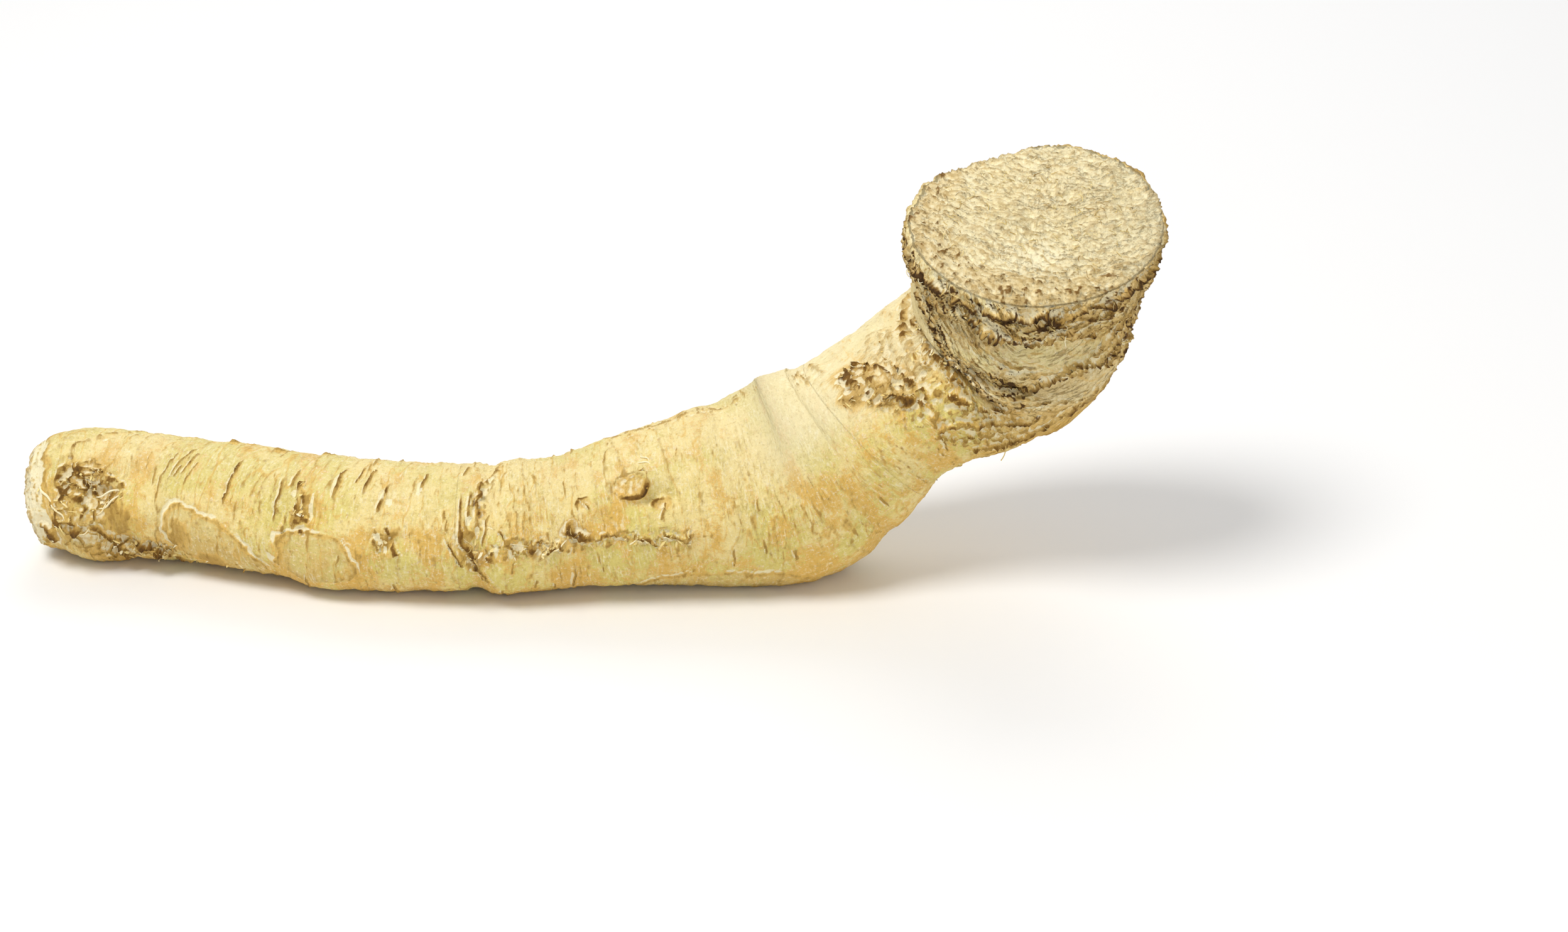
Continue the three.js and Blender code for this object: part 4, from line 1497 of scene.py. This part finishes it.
def skin_material(colours):
    """Pale skin with straw and amber stains, brown bark, dark cracks, fibrous cut faces, painted shade
    and highlights.
    """
    shader = Shader("horseradish skin")
    grain, weave = map(shader.place, Relief.PLACES)
    dark, pale, stain, crust, peel, worn, bleach = map(shader.attribute, Relief.COLOURED)
    face, hollow, collar, upward = map(shader.attribute, Relief.TOLD)
    cloud = shader.noise(grain, 24)
    zone = shader.noise(shader.stretch(grain, (1.0, 0.55, 0.55)), 9, detail=5, roughness=0.6)
    mottle = shader.noise(grain, 2.4, detail=4, roughness=0.7)
    fleck = shader.noise(grain, 0.8, roughness=0.7)
    thread = shader.noise(weave, 0.65, detail=4, roughness=0.7)
    strand = shader.noise(weave, 1.7, roughness=0.6)

    # the skin's broad colours, and the flesh of the cuts
    colour = shader.mix(colours.cream, colours.straw, (cloud + 0.3 * (mottle - 0.5)).step(0.42, 0.58))
    # amber blotches, more of them on the underside as painted shade
    blotch = (zone + 0.4 * (mottle - 0.5) + 0.45 * (fleck - 0.5) - 0.07 * upward).step(0.46, 0.58)
    colour = shader.mix(colour, colours.amber, blotch * 0.95)
    # paler on the pale shoulder and panels, and on the top as painted light
    colour = shader.mix(colour, colours.flesh, bleach * 0.8)
    colour = shader.mix(colour, colours.tan, peel * 0.5)
    dull = (worn + 0.5 * (mottle - 0.5)).step(0.1, 0.9)
    colour = shader.mix(colour, colours.tan, dull * (0.5 - 0.3 * collar))
    colour = shader.mix(colour, colours.flesh, collar * 0.5)
    clouded = (zone + 0.4 * (mottle - 0.5)).step(0.45, 0.7)
    flesh = shader.mix(colours.flesh, colours.tan, clouded * 0.18)
    colour = shader.mix(colour, flesh, face)

    # fine threads, mottling, flecks and grit
    lined = shader.noise(grain, 12).step(0.44, 0.6)
    line = (0.6 * thread + 0.4 * strand).step(0.5, 0.62)
    drawn_in = 0.05 + 0.22 * lined + 0.2 * worn + 0.3 * stain
    colour = shader.mix(colour, colours.bark, line * drawn_in * (1.0 - face) * (1.0 - 0.7 * bleach))
    whitened = (1.0 - thread).step(0.52, 0.66)
    colour = shader.mix(colour, colours.pale, whitened * (0.2 + 0.35 * lined + 0.2 * face))
    colour = shader.mix(colour, colours.bark, mottle.step(0.52, 0.72) * 0.25 * (1.0 - 0.6 * bleach))
    colour = shader.mix(colour, colours.pale, fleck.step(0.54, 0.68) * 0.65)
    grit = (1.0 - fleck).step(0.55, 0.7) * (0.35 + 0.3 * worn)
    colour = shader.mix(colour, colours.bark, grit)
    stroke = (0.6 * thread + 0.4 * strand).step(0.545, 0.6)
    colour = shader.mix(colour, colours.root_brown, stroke * (0.75 * collar + 0.17 * face + 0.4 * crust))

    # stains with painted shade, painted shade in hollows, torn edges with painted ridge highlights,
    # and dark cracks, all with ragged borders
    ragged = 0.6 * fleck + 0.4 * thread - 0.5
    gold = (stain + 1.3 * ragged).step(0.1, 0.6)
    colour = shader.mix(colour, colours.amber, gold * 0.65 * (1.0 - 0.6 * face) * (1.0 - 0.25 * collar))
    brown = (stain + 1.5 * ragged + 0.2 * crust).step(0.42, 1.2)
    colour = shader.mix(colour, colours.bark, brown * 0.72)
    # painted shade: bark brown where the skin lies below the skin round it
    shade = (hollow * 1.6 + ragged * 1.2).step(0.08, 0.75) * (0.85 - 0.45 * face - 0.2 * collar)
    colour = shader.mix(colour, colours.bark, shade * (1.0 - 0.5 * bleach))
    # pale torn edges, and a painted highlight where the skin stands above the skin round it
    edge = (pale - 0.7 * hollow + ragged * 1.2).step(0.25, 0.8)
    colour = shader.mix(colour, colours.pale, edge * 0.85)
    deep = (dark + ragged * 1.2).step(0.36, 0.78)
    colour = shader.mix(colour, colours.root_brown, deep * 0.9)
    deepest = (dark * (1.0 + 0.35 * collar) + ragged * 1.1).step(0.8, 1.2)
    colour = shader.mix(colour, colours.earth, deepest * 0.9)

    relief = 0.5 * mottle + 0.5 * fleck + 0.5 * thread + 0.4 * strand
    relief = relief - 0.6 * stroke * (collar + 0.5 * face)
    return shader.finish(
        Base_Color=colour,
        Roughness=0.6 + 0.25 * fleck,
        Specular_IOR_Level=0.2,
        Normal=shader.bump(relief, 0.8),
    )


def loose_material(colours):
    """Crumbs, flakes and threads: pale to brown, each its own shade."""
    shader = Shader(FIBRE_MATERIAL)
    place = shader.node("ShaderNodeTexCoord", output="Object")
    grit = shader.noise(place, 0.8, roughness=0.7)
    tone = shader.attribute("tone") + 0.6 * (grit - 0.5)
    colour = shader.mix(colours.bark, colours.cream, tone.step(0.0, 0.6))
    colour = shader.mix(colour, colours.pale, tone.step(0.7, 1.0))
    return shader.finish(
        Base_Color=colour, Roughness=0.8, Specular_IOR_Level=0.2, Normal=shader.bump(grit, 0.2)
    )


def crumbs_on_skin(sizes, material):
    """Small angular crumbs of bark."""
    named = {"Size": sizes.crumb, "Density": sizes.crumbs * PER_SQUARE_CM}
    grow = Growth("horseradish_crumbs", material, named)
    size = grow.size("Size")
    ball = grow.node("GeometryNodeMeshIcoSphere", None, {"Radius": size, "Subdivisions": 1})
    chipped = {0: grow.random((-0.35,) * 3, (0.35,) * 3, seed=5), "Scale": size}
    chipped = grow.node("ShaderNodeVectorMath", {"operation": "SCALE"}, chipped)
    crumb = grow.node("GeometryNodeSetPosition", None, {"Geometry": ball, "Offset": chipped})
    grow.scatter(crumb, "loose", ((-ANY_WAY,) * 3, (ANY_WAY,) * 3), (0.3, 0.3, 0.3), seed=40)
    return grow.mesh()


def flakes_on_skin(sizes, material):
    """Thin curled flakes of skin that stand up from peeled edges."""
    named = {"Length": sizes.flake, "Density": sizes.flakes * PER_SQUARE_CM}
    grow = Growth("horseradish_flakes", material, named)
    length = grow.size("Length")
    box = grow.vector(length, length * 0.45, length * 0.07)
    counts = {"Vertices X": 6, "Vertices Y": 2, "Vertices Z": 2}
    plate = grow.node("GeometryNodeMeshCube", None, {"Size": box, **counts})
    x, y = grow.place(0), grow.place(1)
    share = x * (1 / (sizes.flake or 1))  # of its length, from -0.5 to 0.5
    lift = (share + 0.5) * (share + 0.5) * length * 0.55
    pinch = y * (share * share * -2.4)
    inputs = {"Geometry": plate, "Offset": grow.vector(0.0, pinch, lift)}
    flake = grow.node("GeometryNodeSetPosition", None, inputs)
    turn = (-0.35, -0.35, -ANY_WAY), (0.35, 0.1, ANY_WAY)
    grow.scatter(flake, "curl", turn, (0.3, 0.25, 0.3), seed=50)
    return grow.mesh()


def rootlets_on_skin(sizes, material):
    """Short dry rootlets, thicker at the foot, that lie over against the skin."""
    density = sizes.rootlets * PER_SQUARE_CM
    named = {"Length": sizes.rootlet, "Thickness": sizes.rootlet_thickness, "Density": density}
    grow = Growth("horseradish_rootlets", material, named)
    length = grow.size("Length")
    points = (
        grow.vector(0.0, 0.0, length * -0.06),
        grow.vector(length * 0.35, length * 0.1, length * 0.5),
        grow.vector(length, length * -0.15, length * 0.12),
    )
    tube = grow.tube(points, grow.size("Thickness"), sides=4)
    turn = (-0.25, -0.25, -ANY_WAY), (0.25, 0.2, ANY_WAY)
    grow.scatter(tube, "sprout", turn, (0.25, 0.25, 0.25), seed=60)
    return grow.mesh()


def fibres_on_skin(sizes, material):
    """Fine torn fibres on the cut faces, along the rims and across the cracks."""
    density = sizes.threads * PER_SQUARE_CM
    named = {"Length": sizes.thread, "Thickness": sizes.thread_thickness, "Density": density}
    grow = Growth("horseradish_fibres", material, named)
    length = grow.size("Length")
    points = (
        grow.vector(length * -0.5, 0.0, length * -0.04),
        grow.vector(0.0, length * 0.3, length * 0.2),
        grow.vector(length * 0.5, length * -0.1, length * -0.04),
    )
    tube = grow.tube(points, grow.size("Thickness"), sides=3)
    turn = (-0.12, -0.12, -ANY_WAY), (0.12, 0.12, ANY_WAY)
    grow.scatter(tube, "torn", turn, (0.3, 0.3, 0.3), seed=70)
    return grow.mesh()


def skin_finder():
    """A function that gives the finished skin's point, in metres, and normal at an s and angle."""
    sweep = Sweep(TAIL_END, CROWN_END, 1.0, 8)
    sides = ~(sweep.is_tail | sweep.is_crown)
    trees = [
        BVHTree.FromPolygons([v.co for v in skin.vertices], [p.vertices[:] for p in skin.polygons])
        for skin in (bpy.data.objects[name].data for name in SKINS)
    ]

    def find(s, angle):
        near = [
            np.array([np.interp(s, sweep.s[sides], table[sides][:, axis]) for axis in range(3)])
            for table in (sweep.centre, sweep.front, sweep.inner)
        ]
        a = math.radians(angle)
        spoke = Vector(near[1] * math.cos(a) + near[2] * math.sin(a))
        start = Vector(near[0] * MM) + spoke * OUTSIDE
        hits = [tree.ray_cast(start, -spoke, OUTSIDE) for tree in trees]
        place, normal, _, _ = min((hit for hit in hits if hit[0]), key=lambda hit: hit[3])
        return place, normal

    return find


def strands_mesh():
    """Loose strands as thin tapering tubes, both ends sunk into the skin."""
    find = skin_finder()
    mesh = bpy.data.meshes.new("horseradish_strands")
    vertices, faces, tones = [], [], []
    for start, end, radius, bow, tone in STRANDS:
        (first, out), (last, _) = find(*start), find(*end)
        side = (last - first).cross(out).normalized()
        base = len(vertices)
        for step in range(STRAND_STEPS + 1):
            t = step / STRAND_STEPS
            rise = 4 * t * (1 - t) * bow - STRAND_SUNK
            drift = 0.6 * math.sin(2 * math.pi * t) * bow
            middle = first.lerp(last, t) + (out * rise + side * drift) * MM
            thick = radius * (0.45 + 0.55 * math.sin(math.pi * t)) * MM
            for corner in range(STRAND_SIDES):
                a = 2 * math.pi * corner / STRAND_SIDES
                vertices.append(middle + (out * math.cos(a) + side * math.sin(a)) * thick)
        for step in range(STRAND_STEPS):
            for corner in range(STRAND_SIDES):
                following = (corner + 1) % STRAND_SIDES
                ring = base + step * STRAND_SIDES
                above = ring + STRAND_SIDES
                faces.append((ring + corner, ring + following, above + following, above + corner))
        faces.append([base + corner for corner in reversed(range(STRAND_SIDES))])
        faces.append([base + STRAND_STEPS * STRAND_SIDES + corner for corner in range(STRAND_SIDES)])
        tones += [tone] * (len(vertices) - base)
    mesh.from_pydata(vertices, [], faces)
    mesh.attributes.new("tone", "FLOAT", "POINT").data.foreach_set("value", tones)
    mesh.polygons.foreach_set("use_smooth", [True] * len(faces))
    return mesh


def add_piece(name, mesh, material):
    """A piece of the root, at the origin, that rides with the solid."""
    piece = bpy.data.objects.new(name, mesh)
    mesh.materials.clear()
    mesh.materials.append(material)
    bpy.context.scene.collection.objects.link(piece)
    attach(piece, BODY)
    return piece


class HORSERADISH_OT_skin(Operator):
    """Make the root's skin and its cut faces"""

    bl_idname = "horseradish.skin"
    bl_label = "Skin"

    def execute(self, context):
        scene = context.scene
        material = skin_material(scene.horseradish_colours)
        for name, rows in zip(SKINS, skin_rows(scene.horseradish_sizes)):
            piece = add_piece(name, skin_mesh(name, *rows), material)
            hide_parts(NODE)
        return {"FINISHED"}


def fibre_material(context):
    """The loose bits' material, made the first time that it is asked for."""
    made = bpy.data.materials.get(FIBRE_MATERIAL)
    return made or loose_material(context.scene.horseradish_colours)


def grow_piece(context, make):
    """Makes one kind of scattered bits into a piece."""
    material = fibre_material(context)
    mesh = make(context.scene.horseradish_sizes, material)
    add_piece(mesh.name, mesh, material)
    return {"FINISHED"}


class HORSERADISH_OT_strands(Operator):
    """Lift loose strands off the tail, the cracks and the collar"""

    bl_idname = "horseradish.strands"
    bl_label = "Strands"

    def execute(self, context):
        mesh = strands_mesh()
        add_piece(mesh.name, mesh, fibre_material(context))
        return {"FINISHED"}


class HORSERADISH_OT_crumbs(Operator):
    """Scatter bark crumbs over the crusts and cracks"""

    bl_idname = "horseradish.crumbs"
    bl_label = "Crumbs"

    def execute(self, context):
        return grow_piece(context, crumbs_on_skin)


class HORSERADISH_OT_flakes(Operator):
    """Raise curled flakes along the peeled edges"""

    bl_idname = "horseradish.flakes"
    bl_label = "Flakes"

    def execute(self, context):
        return grow_piece(context, flakes_on_skin)


class HORSERADISH_OT_rootlets(Operator):
    """Grow short rootlets from cracks and crusts"""

    bl_idname = "horseradish.rootlets"
    bl_label = "Rootlets"

    def execute(self, context):
        return grow_piece(context, rootlets_on_skin)


class HORSERADISH_OT_fibres(Operator):
    """Lay torn fibres on the cut faces, the rims and the cracks"""

    bl_idname = "horseradish.fibres"
    bl_label = "Fibres"

    def execute(self, context):
        return grow_piece(context, fibres_on_skin)


class HORSERADISH_OT_stage(Operator):
    """Make the pale floor, the studio lights and the camera"""

    bl_idname = "horseradish.stage"
    bl_label = "Stage"

    TARGET = Vector((54.3, -1.6, 30)) * MM
    DISTANCE = 1.0
    ELEVATION = 25
    LENS, SENSOR = 85, 36
    FLOOR_SIZE = 30
    FLOOR_COLOUR = (0.9, 0.9, 0.9)
    SKY_STRENGTH = 0.42
    # name, place in metres, size in metres, watts, colour
    LIGHTS = [
        ("key", (-0.5, -0.45, 1.3), 0.6, 14, (1.0, 0.985, 0.96)),
        ("fill", (0.7, -1.0, 0.6), 1.0, 3, (1.0, 0.99, 0.97)),
        ("back", (0.1, 0.95, 0.9), 1.0, 5, (1.0, 1.0, 1.0)),
    ]

    def execute(self, context):
        scene = context.scene
        bpy.ops.mesh.primitive_plane_add(size=self.FLOOR_SIZE)
        floor = context.object
        floor.name = "floor"
        paint = Shader("pale floor")
        floor.data.materials.append(paint.finish(Base_Color=self.FLOOR_COLOUR, Roughness=0.7))
        world = bpy.data.worlds.new("studio")
        world.use_nodes = True
        sky = world.node_tree.nodes["Background"].inputs
        sky["Color"].default_value = (1, 1, 1, 1)
        sky["Strength"].default_value = self.SKY_STRENGTH
        scene.world = world
        scene.view_settings.view_transform = "Standard"
        for name, place, size, watts, colour in self.LIGHTS:
            data = bpy.data.lights.new(name, "AREA")
            data.shape, data.size, data.energy, data.color = "DISK", size, watts, colour
            light = bpy.data.objects.new(name, data)
            light.location = place
            light.rotation_euler = (self.TARGET - Vector(place)).to_track_quat("-Z", "Y").to_euler()
            scene.collection.objects.link(light)
        data = bpy.data.cameras.new("camera")
        data.lens, data.sensor_width = self.LENS, self.SENSOR
        camera = bpy.data.objects.new("camera", data)
        tilt = math.radians(self.ELEVATION)
        back = Vector((0, -math.cos(tilt), math.sin(tilt)))
        camera.location = self.TARGET + back * self.DISTANCE
        camera.rotation_euler = (-back).to_track_quat("-Z", "Y").to_euler()
        scene.collection.objects.link(camera)
        scene.camera = camera
        return {"FINISHED"}


class HORSERADISH_PT_panel(Panel):
    """The root's pieces, sizes and colours"""

    bl_label = "Horseradish Root"
    bl_idname = "HORSERADISH_PT_panel"
    bl_space_type = "VIEW_3D"
    bl_region_type = "UI"
    bl_category = "Horseradish"

    def draw(self, context):
        for operator in OPERATORS:
            self.layout.operator(operator.bl_idname)
        for group in (context.scene.horseradish_sizes, context.scene.horseradish_colours):
            column = self.layout.column()
            for name in group.__annotations__:
                column.prop(group, name)


OPERATORS = [
    HORSERADISH_OT_skin,
    HORSERADISH_OT_strands,
    HORSERADISH_OT_crumbs,
    HORSERADISH_OT_flakes,
    HORSERADISH_OT_rootlets,
    HORSERADISH_OT_fibres,
    HORSERADISH_OT_stage,
]
CLASSES = [RootSizes, RootColours, *OPERATORS, HORSERADISH_PT_panel]


def register():
    for cls in CLASSES:
        bpy.utils.register_class(cls)
    bpy.types.Scene.horseradish_sizes = PointerProperty(type=RootSizes)
    bpy.types.Scene.horseradish_colours = PointerProperty(type=RootColours)


def unregister():
    del bpy.types.Scene.horseradish_colours
    del bpy.types.Scene.horseradish_sizes
    for cls in reversed(CLASSES):
        bpy.utils.unregister_class(cls)


def main():
    """Makes the root and its stage."""
    register()
    bpy.ops.horseradish.skin()
    bpy.ops.horseradish.strands()
    bpy.ops.horseradish.crumbs()
    bpy.ops.horseradish.flakes()
    bpy.ops.horseradish.rootlets()
    bpy.ops.horseradish.fibres()
    bpy.ops.horseradish.stage()


if __name__ == "__main__":
    main()
